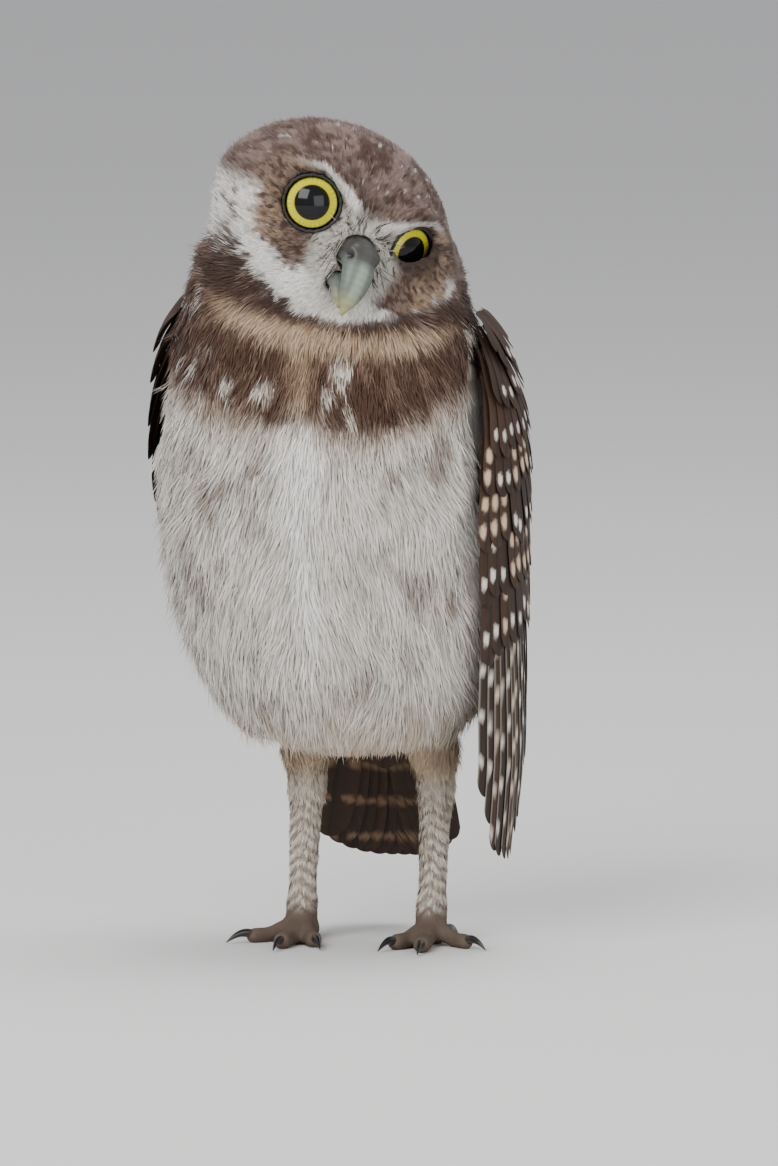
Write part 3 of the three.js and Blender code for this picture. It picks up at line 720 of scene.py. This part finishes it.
def under_wings(points, normals):
    """Whether a wing covers a place, also from ahead."""
    ahead = unit(normals + (0, -0.9, 0))
    covered = np.zeros(len(points), bool)
    for name in ("wing_left", "wing_right"):
        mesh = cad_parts[name].data
        tree = BVHTree.FromPolygons([v.co for v in mesh.vertices], [p.vertices for p in mesh.polygons])
        starts = (points + BODY_SHIFT) * MM
        for i in np.nonzero(~covered)[0]:
            rays = ((normals[i], WING_COVER * MM), (ahead[i], WING_COVER_AHEAD * MM))
            covered[i] = all(tree.ray_cast(starts[i], way, reach)[0] is not None for way, reach in rays)
    return covered


# Wings and tail, on the same charts as the solids, with finer feathers

TRUNK_LEAN = profile([(54, 2.5), (97, -0.5), (125, -2), (153, -3), (184, -5.6), (208, -5)])
SHOULDER = 181.0
SHOULDER_ACROSS = 31.0
CHART_RADIUS = 46.0
LEFT_SLEEVE = (
    profile([(22, 43), (50, 46), (75, 48), (110, 49.6), (139, 49.7), (153, 48.4), (168, 45.4), (184, 41.5)]),
    profile([(22, 35), (60, 38.5), (100, 41), (139, 41), (168, 35), (184, 31)]),
    profile([(22, 33), (60, 36), (100, 37), (139, 37), (168, 33), (184, 30)]),
)
RIGHT_SLEEVE = (
    profile([
        (45, 31), (60, 34), (83, 42), (97, 45.5), (111, 47.3), (139, 48), (153, 46.5), (168, 43), (184, 38.5),
    ]),
    profile([(45, 30), (83, 37), (100, 40), (139, 41), (168, 35), (184, 31)]),
    profile([(45, 39), (75, 37.5), (100, 36.5), (139, 36.5), (168, 33), (184, 30)]),
)


def wing_chart(sleeve, slope, turned, folded, side):
    """A place on a wing: along it, back from its front edge, and out from its inner face."""
    wide, fore, aft = sleeve
    sin = math.sin(math.radians(slope))
    cos = math.cos(math.radians(slope))

    def place(along, across, out):
        chord = (across - SHOULDER_ACROSS) * folded
        reach_down = along * folded
        turn = math.radians(turned) - (reach_down * sin + chord * cos) / CHART_RADIUS
        height = SHOULDER - reach_down * cos + chord * sin
        reach = np.where(turn > 0, fore(height), aft(height))
        x = side * TRUNK_LEAN(height) + (wide(height) + out) * np.cos(turn)
        return np.stack([side * x, -(reach + out) * np.sin(turn), height], -1)

    return place


TAIL_ROOT = np.array([5.0, 23.0, 76.0])
TAIL_DOWN = unit(np.array([0.01, 0.37, -0.93]))
TAIL_OUTWARD = unit(np.array([0.0, 0.93, 0.37]))
TAIL_ARCH = 90


def tail_chart(along, across, out):
    """A place on the tail: along it, to its left, and out from its arched upper face."""
    lift = (out - across * across / TAIL_ARCH)[..., None]
    return TAIL_ROOT + across[..., None] * (1, 0, 0) + along[..., None] * TAIL_DOWN + lift * TAIL_OUTWARD


ACROSS = 13  # points across and along a feather
ALONG = 34
SHAFT = -0.15  # where the shaft runs, from -1 at a feather's leading edge to 1 at its trailing edge


def feather_grid(chart, root, tip, width, lift, tilt, sink, camber=0.5):
    """One feather as a fine sheet. Returns its points, and each point's place across and along."""
    t = np.linspace(0, 1, ALONG)[None, :]
    s = np.linspace(-1, 1, ACROSS)[:, None]
    rounding = 0.5 * (1 - np.sqrt(1 - (s * 0.96) ** 2)) * width / max(tip[1] - root[1], 1)
    t = t - rounding * smooth(0.55, 1, t)
    half = 0.5 * width * (0.35 + 0.65 * smooth(0, 0.35, t)) * (1 - 0.25 * smooth(0.72, 1.0, t))
    dx = tip[0] - root[0]
    dy = tip[1] - root[1]
    size = math.hypot(dx, dy)
    across = root[0] + dx * t + s * half * dy / size
    along = root[1] + dy * t - s * half * dx / size
    shaft = 0.16 * np.exp(-(((s - SHAFT) / 0.09) ** 2)) * (1 - t)
    level = lift - sink * (1 - t) ** 2 - s * half * tilt + camber * (1 - s * s) + shaft
    return chart(along, across, level), s + 0 * t, t + 0 * s


def spots(s, t, places, size, length, width):
    """Oval spots on a feather, as a mask. Each place is its distance along and across the feather."""
    mask = np.zeros(s.shape)
    for along, across in places:
        aside = (s - across) * width / 2
        ahead = (t - along) * length
        mask = np.maximum(mask, smooth(1.2, 0.75, np.hypot(aside / size[0], ahead / size[1])))
    return mask


def paint_feather(kind, s, t, length, width, tone):
    """Dark brown vane with fine barbs, a dark shaft and the pale spots of its tract."""
    base = mix(WING_DARK, WING_WARM, smooth(-0.2, 1.0, np.abs(s)) * 0.3 + tone * 0.35)
    barbs = 1 + 0.09 * np.sin((t * length * 2.2 + np.abs(s - SHAFT) * width * 1.6) * 2.4)
    base = base * barbs[..., None]
    start = 0.16 * tone
    if kind == "flight":
        rows = np.arange(0.3 + start, 0.97, 13.0 / length)
        pale = spots(s, t, [(p, -0.76) for p in rows], (0.7, 2.1), length, width)
        inner = spots(s, t, [(p + 0.03, 0.5) for p in rows], (2.2, 1.8), length, width)
        out = mix(base * 0.85, SPOT_BUFF, inner * 0.5)
        out = mix(out, mix(SPOT_WHITE, SPOT_BUFF, 0.5 * (tone > 0.7)), pale * 0.95)
        out = mix(out, SPOT_WHITE, smooth(-0.92, -0.99, s) * 0.3)
    elif kind == "arm":
        rows = np.arange(0.3 + start, 0.99, 10.5 / length)
        pale = spots(s, t, [(p, -0.68) for p in rows], (1.2, 1.9), length, width)
        out = mix(base, mix(SPOT_WHITE, SPOT_BUFF, 0.8 * (tone > 0.35)), pale * 0.92)
    elif kind == "covert":
        size = (1.0 + 0.5 * tone, 1.5 + 0.7 * tone)
        places = [(0.86, -0.52)]
        if tone > 0.45:
            places.append((0.63 + start * 0.3, -0.45))
        pale = spots(s, t, places, size, length, width)
        out = mix(base, mix(SPOT_WHITE, SPOT_BUFF, 0.7 * (tone > 0.66)), pale * 0.95)
    elif kind == "small":
        pale = spots(s, t, [(0.8, -0.3)], (1.15, 1.5), length, width) * (tone > 0.3)
        out = mix(base, SPOT_WHITE, pale * 0.9)
    else:
        rows = [(p, a) for p in np.arange(0.3, 0.98, 12.0 / length) for a in (-0.62, 0.62)]
        pale = spots(s, t, rows, (2.2, 1.2), length, width)
        out = mix(base * 0.8, SPOT_BUFF, pale * 0.25)
    shaft = np.exp(-(((s - SHAFT) / 0.06) ** 2))
    return mix(out, WING_DARK * 0.55, shaft * 0.7)


# Tiers of a wing: kind, count, first and last root, first and last tip, bow of the tips, width, lift
WING_TIERS = [
    ("flight", 10, ((15, 46), (30, 52)), ((5, 136), (38, 133)), 22, 12, 1.0),
    ("arm", 9, ((30, 50), (49, 40)), ((41, 129), (63, 97)), 0, 13, 1.2),
    ("arm", 4, ((47, 36), (46, 24)), ((65, 93), (58, 70)), 0, 15, 2.7),
    ("covert", 13, ((15, 48), (46, 42)), ((5, 97), (60, 77)), 3, 9, 2.9),
    ("covert", 13, ((14, 38), (45, 34)), ((5, 81), (59, 66)), 2, 8.6, 3.5),
    ("covert", 12, ((14, 28), (44, 26)), ((6, 66), (57, 53)), 2, 8.4, 4.1),
    ("covert", 11, ((17, 19), (42, 18)), ((8, 52), (54, 41)), 2, 8.2, 4.7),
    ("small", 10, ((20, 12), (40, 12)), ((11, 39), (51, 31)), 2, 8, 5.2),
    ("small", 9, ((23, 6), (38, 6)), ((15, 27), (47, 21)), 1, 7.6, 5.6),
    ("small", 6, ((26, 2), (36, 2)), ((20, 16), (43, 13)), 1, 7.6, 5.9),
]
VANE_STEP = 0.7  # by which a feather's edge lies over its neighbour's
STEEPEST_TILT = 0.18


def wing_feathers(chart):
    """All the feathers of one wing, innermost tier first."""
    for kind, count, roots, tips, bow, width, tier_lift in WING_TIERS:
        pitch = abs(tips[1][0] - tips[0][0]) / (count - 1)
        tilt = min(STEEPEST_TILT, VANE_STEP / pitch)
        for i in range(count):
            f = i / (count - 1)
            root, tip = (np.array(first) * (1 - f) + np.array(last) * f for first, last in (roots, tips))
            tip = tip + (random.normal(0, 0.4), 4 * bow * f * (1 - f) + random.normal(0, 1.3))
            length = math.hypot(*(tip - root))
            lift = tier_lift + random.normal(0, 0.08)
            yield kind, length, width, feather_grid(chart, root, tip, width, lift, tilt, tier_lift - 1.0)


TAIL_LENGTH = 61
TAIL_WIDTH = 11.5
TAIL_SPREAD = 26  # degrees over all its feathers
TAIL_HALF = 6  # feathers a side
TAIL_COVERTS = ((1.4, -0.5, 26), (-6.0, 0.5, 30))  # lift, its change a feather, and length, above and below


def tail_feathers():
    """The fan of the tail, and the short coverts over and under its root."""
    for i in range(2 * TAIL_HALF):
        place = i - TAIL_HALF + 0.5
        length = TAIL_LENGTH - 0.28 * place * place
        spread = math.radians(place * TAIL_SPREAD / (2 * TAIL_HALF))
        root = (place * 1.2, 2)
        tip = (place * 1.2 + length * math.sin(spread), length * math.cos(spread))
        grid = feather_grid(tail_chart, root, tip, TAIL_WIDTH, -0.8 * abs(place), 0, 0, camber=0.3)
        yield "tail", length, TAIL_WIDTH, grid
    for lift, slope, reach in TAIL_COVERTS:
        for place in np.arange(-3, 3.1):
            root = (place * 2.4, -2)
            tip = (place * 3.6, reach - abs(place) * 2)
            grid = feather_grid(tail_chart, root, tip, 9, lift + slope * abs(place), 0, 0, camber=0.3)
            yield "small", reach, 9, grid


def feather_piece(name, feathers, slot, node):
    """Joins feathers into one piece, each with a cell of its own in the bake."""
    feathers = list(feathers)
    columns = math.ceil(math.sqrt(len(feathers) * 3))
    rows = math.ceil(len(feathers) / columns)
    i, j = np.mgrid[: ACROSS - 1, : ALONG - 1].reshape(2, -1)
    corner = i * ALONG + j
    quads = np.stack([corner, corner + ALONG, corner + ALONG + 1, corner + 1], 1)
    first = feathers[0][3][0]
    near, beside, beyond = first[0, 20], first[1, 20], first[1, 21]
    facing_in = np.cross(beside - near, beyond - beside) @ (near * (1, 1, 0)) < 0
    if facing_in:
        quads = quads[:, ::-1]
    points, faces, colours, uvs = [], [], [], []
    for k, (kind, length, width, (grid, s, t)) in enumerate(feathers):
        tone = random.uniform(0, 1)
        faces.append(quads + k * ACROSS * ALONG)
        points.append(grid)
        colours.append(paint_feather(kind, s, t, length, width, tone))
        cell = np.array([k % columns, k // columns])
        inside = np.stack([(s + 1) / 2, np.clip(t, 0, 1)], -1).reshape(-1, 2) * 0.86 + 0.07
        uvs.append((cell + inside) / (columns, rows))
    joined = (np.concatenate(parts) for parts in (points, faces, colours))
    piece = make_mesh(name, *joined, FEATHER_LOOK, slot, np.concatenate(uvs))
    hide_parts(node)


# Eyes, lids, bill and claws

def ring_faces(rings, sides, closed=False):
    """Quads between rings of points, and from the last ring to the first where closed."""
    k, i = np.mgrid[: rings if closed else rings - 1, :sides].reshape(2, -1)
    j = (i + 1) % sides
    onward = (k + 1) % rings
    return np.stack([k * sides + i, k * sides + j, onward * sides + j, onward * sides + i], 1)


def eye_frame(side):
    """The eye's middle and its own right, up and outward directions, in the head's frame."""
    a = math.radians(EYE_OUTWARD)
    outward = np.array([side * math.sin(a), -math.cos(a), 0.0])
    right = unit(np.cross(outward, (0, 0, 1.0)))
    up = np.cross(right, outward)
    return on_side(side, EYE_CENTRE), right, up, outward


def place_in_eye(side, across, height, out):
    middle, right, up, outward = eye_frame(side)
    local = middle + across[..., None] * right + height[..., None] * up + out[..., None] * outward
    return from_head(local)


def eyeball(label, side):
    """Yellow iris with fine rays, dark limbus and black pupil, on a bulging front shaded with the globe's
    normals.
    """
    rings, sides = 70, 120
    reach = np.linspace(0, 1, rings)[:, None] ** 1.1 * math.pi * 0.62
    turn = np.linspace(0, 2 * math.pi, sides, endpoint=False)[None, :]
    radius = EYE_RADIUS * np.sin(reach) * np.ones_like(turn)
    out = EYE_RADIUS * np.cos(reach) * np.ones_like(turn)
    globe = place_in_eye(side, radius * np.cos(turn), radius * np.sin(turn), out)
    middle = from_head(eye_frame(side)[0])
    rim = math.sqrt(EYE_RADIUS**2 - OPENING_RADIUS**2)
    iris_face = rim - 0.4 + IRIS_BULGE * (1 - (radius / OPENING_RADIUS) ** 2)
    out = np.where((radius < OPENING_RADIUS) & (out > 0), iris_face, out)
    points = place_in_eye(side, radius * np.cos(turn), radius * np.sin(turn), out)
    rays = 0.85 + 0.15 * np.sin(turn * 41 + 2 * np.sin(turn * 7)) * smooth(4.8, 6.4, radius)
    tint = mix(IRIS_INNER, IRIS_OUTER, smooth(PUPIL_RADIUS, IRIS_RADIUS, radius)) * rays[..., None]
    tint = mix(tint, PUPIL, smooth(PUPIL_RADIUS + 0.15, PUPIL_RADIUS - 0.1, radius))
    tint = mix(tint, PUPIL, smooth(IRIS_RADIUS - 0.2, IRIS_RADIUS + 0.15, radius) + (out < 0))
    faces = ring_faces(rings, sides)
    normals = unit(globe - middle)
    piece = make_mesh(f"eye_{label}_globe", points, faces, tint, EYE_LOOK, "eye", normals=normals)
    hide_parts(f"eye_{label}")


def eyelids(label, side):
    """A black, faintly creased rim round the eye's opening, the upper lid set a little lower."""
    sides, around = 14, 120
    turn = np.linspace(0, 2 * math.pi, around, endpoint=False)[:, None]
    tube = np.linspace(0, 2 * math.pi, sides, endpoint=False)[None, :]
    opening = OPENING_RADIUS - 0.3 * smooth(0.3, 1, np.sin(turn)) + 0.05 * np.sin(turn * 23)
    thick = 0.5 + 0.05 * np.sin(turn * 17 + 1)
    radius = opening + thick * (1 + np.cos(tube))
    out = np.sqrt(np.clip(EYE_RADIUS**2 - opening**2, 0, None)) + 0.35 + thick * 1.1 * np.sin(tube)
    points = place_in_eye(side, radius * np.cos(turn), radius * np.sin(turn), out + 0 * tube)
    dark = np.ones(points.shape) * LID_RIM
    make_mesh(f"lids_{label}", points, ring_faces(around, sides, closed=True), dark, LID_LOOK, "crown")


def pointed_piece(node, points, colours, look, slot):
    """A form of rings of points that closes at the middle of its last ring, in place of a node."""
    rings, sides = points.shape[:2]
    quads = ring_faces(rings, sides)
    tip = rings * sides
    points = np.concatenate([points.reshape(-1, 3), points[-1].mean(0, keepdims=True)])
    colours = np.concatenate([colours.reshape(-1, 3), colours[-1].mean(0, keepdims=True)])
    last = tip - sides + np.arange(sides)
    ends = np.stack([last, np.roll(last, -1), np.full(sides, tip)], 1)
    tris = np.concatenate([quads[:, [0, 1, 2]], quads[:, [0, 2, 3]], ends])
    piece = make_mesh(f"{node}_horn", points, tris, colours, look, slot)
    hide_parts(node)


def horn(node, stations, sides, wobble=None):
    """Half of the bill: a smooth form through stations of (centre, half width, half depth)."""
    keys = np.array([[*centre, wide, deep] for centre, wide, deep in stations], float)
    knots = np.linspace(0, 1, len(keys))
    fine = np.linspace(0, 1, len(keys) * 8)
    curves = [profile(np.stack([knots, keys[:, k]], 1)) for k in range(5)]
    line = np.stack([curves[k](fine) for k in range(3)], 1)
    wide, deep = (curves[k](fine)[:, None, None] for k in (3, 4))
    along = unit(np.gradient(line, axis=0))
    across = unit(np.array([1.0, 0, 0]) - along * along[:, :1])
    other = np.cross(along, across)
    turn = np.linspace(0, 2 * math.pi, sides, endpoint=False)[:, None]
    local = line[:, None] + across[:, None] * wide * np.cos(turn) + other[:, None] * deep * np.sin(turn)
    if wobble:
        local = wobble(local)
    pointed_piece(node, from_head(local), horn_colours(local), HORN_LOOK, "bill")


def near_place(local, middle, size):
    """The distance from a place, in sizes of an oval round it."""
    return np.linalg.norm((local - middle) / size, axis=-1)


def horn_colours(local):
    """Grey-green horn with a yellowish tip, a dark cere, and black painted shade in the nostrils."""
    x, y, z = local[..., 0], local[..., 1], local[..., 2]
    out = mix(HORN, HORN_SIDE, smooth(0.7, 2.3, np.abs(x)) * 0.9)
    out = mix(out, HORN_TIP, smooth(-14, -21, z))
    out = mix(out, CERE, smooth(-8.5, -5, z) * 0.9)
    for side in (-1, 1):
        hole = near_place(local, on_side(side, (4.4, -32.0, -6.0)), (1.6, 1.5, 1.0))
        # the nostrils are painted near black: painted shade inside the holes
        out = mix(out, NOSTRIL_SHADE, smooth(1.2, 0.8, hole))
    return out * (0.93 + 0.07 * np.sin(z * 3.1 + y))[..., None]


def swell_cere(local):
    """The swellings of the cere, with the nostrils sunk in them."""
    for side in (-1, 1):
        lump = np.exp(-(near_place(local, on_side(side, (4.0, -31.5, -3.6)), (2.6, 3.4, 2.6)) ** 2))
        local = local + lump[..., None] * np.array([side * 0.9, -0.7, 0.5])
        hole = np.exp(-(near_place(local, on_side(side, (4.6, -32.2, -6.0)), (1.2, 1.2, 1.0)) ** 2))
        local = local - hole[..., None] * np.array([side * 1.2, -1.0, 0.2])
    return local


UPPER_BILL = [
    ((0, -21, -5), 5.4, 5.4),
    ((0, -27, -5), 5.3, 4.9),
    ((0, -31, -7.7), 4.8, 4.0),
    ((0, -33.6, -12), 4.4, 3.2),
    ((0, -34.9, -17), 3.0, 2.1),
    ((0, -35.3, -22.2), 0.25, 0.25),
]
LOWER_BILL = [
    ((0, -21, -13), 4.3, 2.9),
    ((0, -27, -14.5), 4.1, 2.7),
    ((0, -30.5, -17.5), 3.2, 2.0),
    ((0, -32.2, -20.2), 1.0, 0.8),
]
BRISTLES_A_SIDE = 130


def bristles(skin, tris):
    """Stiff dark bristles that spring from the lores and lie over the bill's root, and a few whiskers."""
    tree = BVHTree.FromPolygons([Vector(p) for p in skin], tris.tolist())
    roots, ways, normals = [], [], []
    for side in (-1, 1):
        for _ in range(BRISTLES_A_SIDE):
            turn = math.radians(random.uniform(5, 160))
            reach = random.uniform(3.8, 8.0)
            place = (side * reach * math.sin(turn), -45, -4 + reach * 1.1 * math.cos(turn))
            hit, normal, _, _ = tree.ray_cast(Vector(from_head(place)), Vector(HEAD[:, 1]))
            if hit is None:
                continue
            fall = random.uniform(-1.3, 0.3) + math.cos(turn)
            out = (side * math.sin(turn) * random.uniform(0.2, 1), random.uniform(-0.9, -0.3), fall)
            roots.append(hit)
            normals.append(normal)
            ways.append(HEAD @ np.array(out))
    root, normal, way = (np.array(v, float) for v in (roots, normals, ways))
    way = unit(way - normal * ((way * normal).sum(1) - 0.25)[:, None])
    count = len(root)
    length = random.uniform(3.5, 8.5, count)
    points, face = blades(
        root, normal, way, length, np.full(count, 0.17), np.radians(random.uniform(14, 34, count)),
        random.uniform(0.05, 0.35, count), random.normal(0, 0.5, count)
    )
    tint = mix(BRISTLE, LORES, (random.random(count) > 0.72) * 0.8)
    colours = np.repeat(tint, 5, 0)
    own = (np.arange(count)[:, None] % 20, np.arange(count)[:, None] // 20)
    uv = np.stack(own, -1) / 20 * 0.9 + 0.03 + BLADE_PATCH[None]
    normals = unit(face + normal[:, None])
    make_mesh("bill_bristles", points, blade_faces(count), colours, DOWN_LOOK, "crown", uv, normals)


CLAW_RINGS = 18
CLAW_SIDES = 16
CLAW_RADIUS = profile([(0, 1.35), (0.3, 1.2), (0.6, 0.85), (0.85, 0.45), (1, 0.12)])
CLAW_RISE = profile([(0, 2.3), (0.3, 2.9), (0.6, 2.5), (0.85, 1.4), (1, 0.5)])
CLAW_OVERLAP = 2  # of a claw's root with its toe


def claws():
    """Curved dark claws at the toes' ends."""
    fine = np.linspace(0, 1, CLAW_RINGS)
    radius = CLAW_RADIUS(fine)[:, None, None]
    turn = np.linspace(0, 2 * math.pi, CLAW_SIDES, endpoint=False)[:, None]
    shade = mix(CLAW_ROOT, CLAW_TIP, smooth(0, 0.45, fine))
    colours = np.repeat(shade[:, None], CLAW_SIDES, 1)
    for label, side in (("left", 1), ("right", -1)):
        for name, (heading, length) in TOES.items():
            a = math.radians(heading)
            forward = length - CLAW_OVERLAP + fine * CLAW_LENGTH
            x = LEGS_MIDDLE + side * (LEG_SPACING + forward * math.sin(a))
            line = np.stack([x, ANKLE_Y - forward * math.cos(a), CLAW_RISE(fine)], 1)
            along = unit(np.gradient(line, axis=0))
            across = unit(np.cross(along, (0, 0, 1.0)))
            other = np.cross(across, along)
            wide = across[:, None] * radius * 0.85 * np.cos(turn)
            points = line[:, None] + wide + other[:, None] * radius * np.sin(turn)
            pointed_piece(f"claw_{label}_{name}", points, colours, CLAW_LOOK, "claw")


FLOOR_SIZE = 40  # metres
FLOOR_TONE = (0.72, 0.71, 0.69, 1)
WORLD_TONE = (0.93, 0.95, 1.0, 1)
WORLD_STRENGTH = 0.62
LAMPS = (
    ("key", (-0.6, -1.7, 1.5), 1.3, 42),
    ("fill", (1.3, -1.6, 0.6), 1.3, 15),
    ("top", (0.2, 0.3, 1.7), 1.0, 16),
)  # each with its place, size and power
LIT_POINT = Vector((0, 0, 0.12))


def floor_and_light():
    """A pale floor that reaches past the view, and soft lamps round the owl."""
    bpy.ops.mesh.primitive_plane_add(size=FLOOR_SIZE)
    floor = bpy.context.object
    floor.name = "floor"
    tone = bpy.data.materials.new("pale_floor")
    tone.use_nodes = True
    fill(tone.node_tree.nodes["Principled BSDF"], {"Base Color": FLOOR_TONE, "Roughness": 0.9})
    floor.data.materials.append(tone)
    floor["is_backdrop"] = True
    world = bpy.data.worlds.new("studio")
    bpy.context.scene.world = world
    world.use_nodes = True
    fill(world.node_tree.nodes["Background"], {"Color": WORLD_TONE, "Strength": WORLD_STRENGTH})
    for name, place, size, power in LAMPS:
        lamp = bpy.data.lights.new(name, "AREA")
        lamp.size = size
        lamp.energy = power
        holder = add(name, lamp)
        holder.location = place
        holder.rotation_euler = (LIT_POINT - Vector(place)).to_track_quat("-Z", "Y").to_euler()


def camera():
    """The photograph's view, with its whole height in the frame."""
    a = math.radians(AZIMUTH)
    e = math.radians(ELEVATION)
    back = Vector((math.sin(a) * math.cos(e), -math.cos(a) * math.cos(e), math.sin(e)))
    target = Vector((AIM + BODY_SHIFT) * MM)
    data = bpy.data.cameras.new("photo")
    data.sensor_width = SENSOR
    data.lens = SENSOR * DISTANCE / (PHOTO_HEIGHT * MM_PER_PIXEL)
    data.clip_end = 20
    seen = add("photo", data)
    seen.location = target + back * DISTANCE * MM
    seen.rotation_euler = (-back).to_track_quat("-Z", "Y").to_euler()
    bpy.context.scene.camera = seen


def unwrap(piece):
    """Unwraps a piece's own shape. Returns the places of each triangle's corners on it."""
    bpy.context.view_layer.objects.active = piece
    piece.select_set(True)
    bpy.ops.object.mode_set(mode="EDIT")
    bpy.ops.mesh.select_all(action="SELECT")
    bpy.ops.uv.smart_project(angle_limit=1.15, island_margin=0.004)
    bpy.ops.object.mode_set(mode="OBJECT")
    places = np.empty(len(piece.data.loops) * 2, np.float32)
    piece.data.uv_layers["OFBake"].data.foreach_get("uv", places)
    return places.reshape(-1, 3, 2)


camera()
floor_and_light()
skin_points, skin_tris = flesh_skin()
# The skin is painted with the coat's colours darkened: painted shade under the coat.
skin_colours = paint(skin_points, skin_points) * SKIN_SHADE
no_unwrap = np.zeros((len(skin_points), 2))
skin = make_mesh("skin", skin_points, skin_tris, skin_colours, SKIN_LOOK, "breast", no_unwrap)
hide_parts(*FLESH)
grow_coat(skin_points, skin_tris, vertex_normals(skin_points, skin_tris), unwrap(skin))
bristles(skin_points, skin_tris)
left_wing = wing_chart(LEFT_SLEEVE, slope=2, turned=2.4, folded=1.0, side=1)
right_wing = wing_chart(RIGHT_SLEEVE, slope=25, turned=4, folded=0.8, side=-1)
feather_piece("wing_left_feathers", wing_feathers(left_wing), "wing", "wing_left")
feather_piece("wing_right_feathers", wing_feathers(right_wing), "wing", "wing_right")
feather_piece("tail_feathers", tail_feathers(), "tail", "tail")
for side_label, side_sign in (("left", 1), ("right", -1)):
    eyeball(side_label, side_sign)
    eyelids(side_label, side_sign)
horn("bill_upper", UPPER_BILL, 40, wobble=swell_cere)
horn("bill_lower", LOWER_BILL, 32)
claws()

visual_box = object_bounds()
for label, box in (("cad", cad_box), ("visual", visual_box)):
    [[round(float(v), 6) for v in corner] for corner in box]
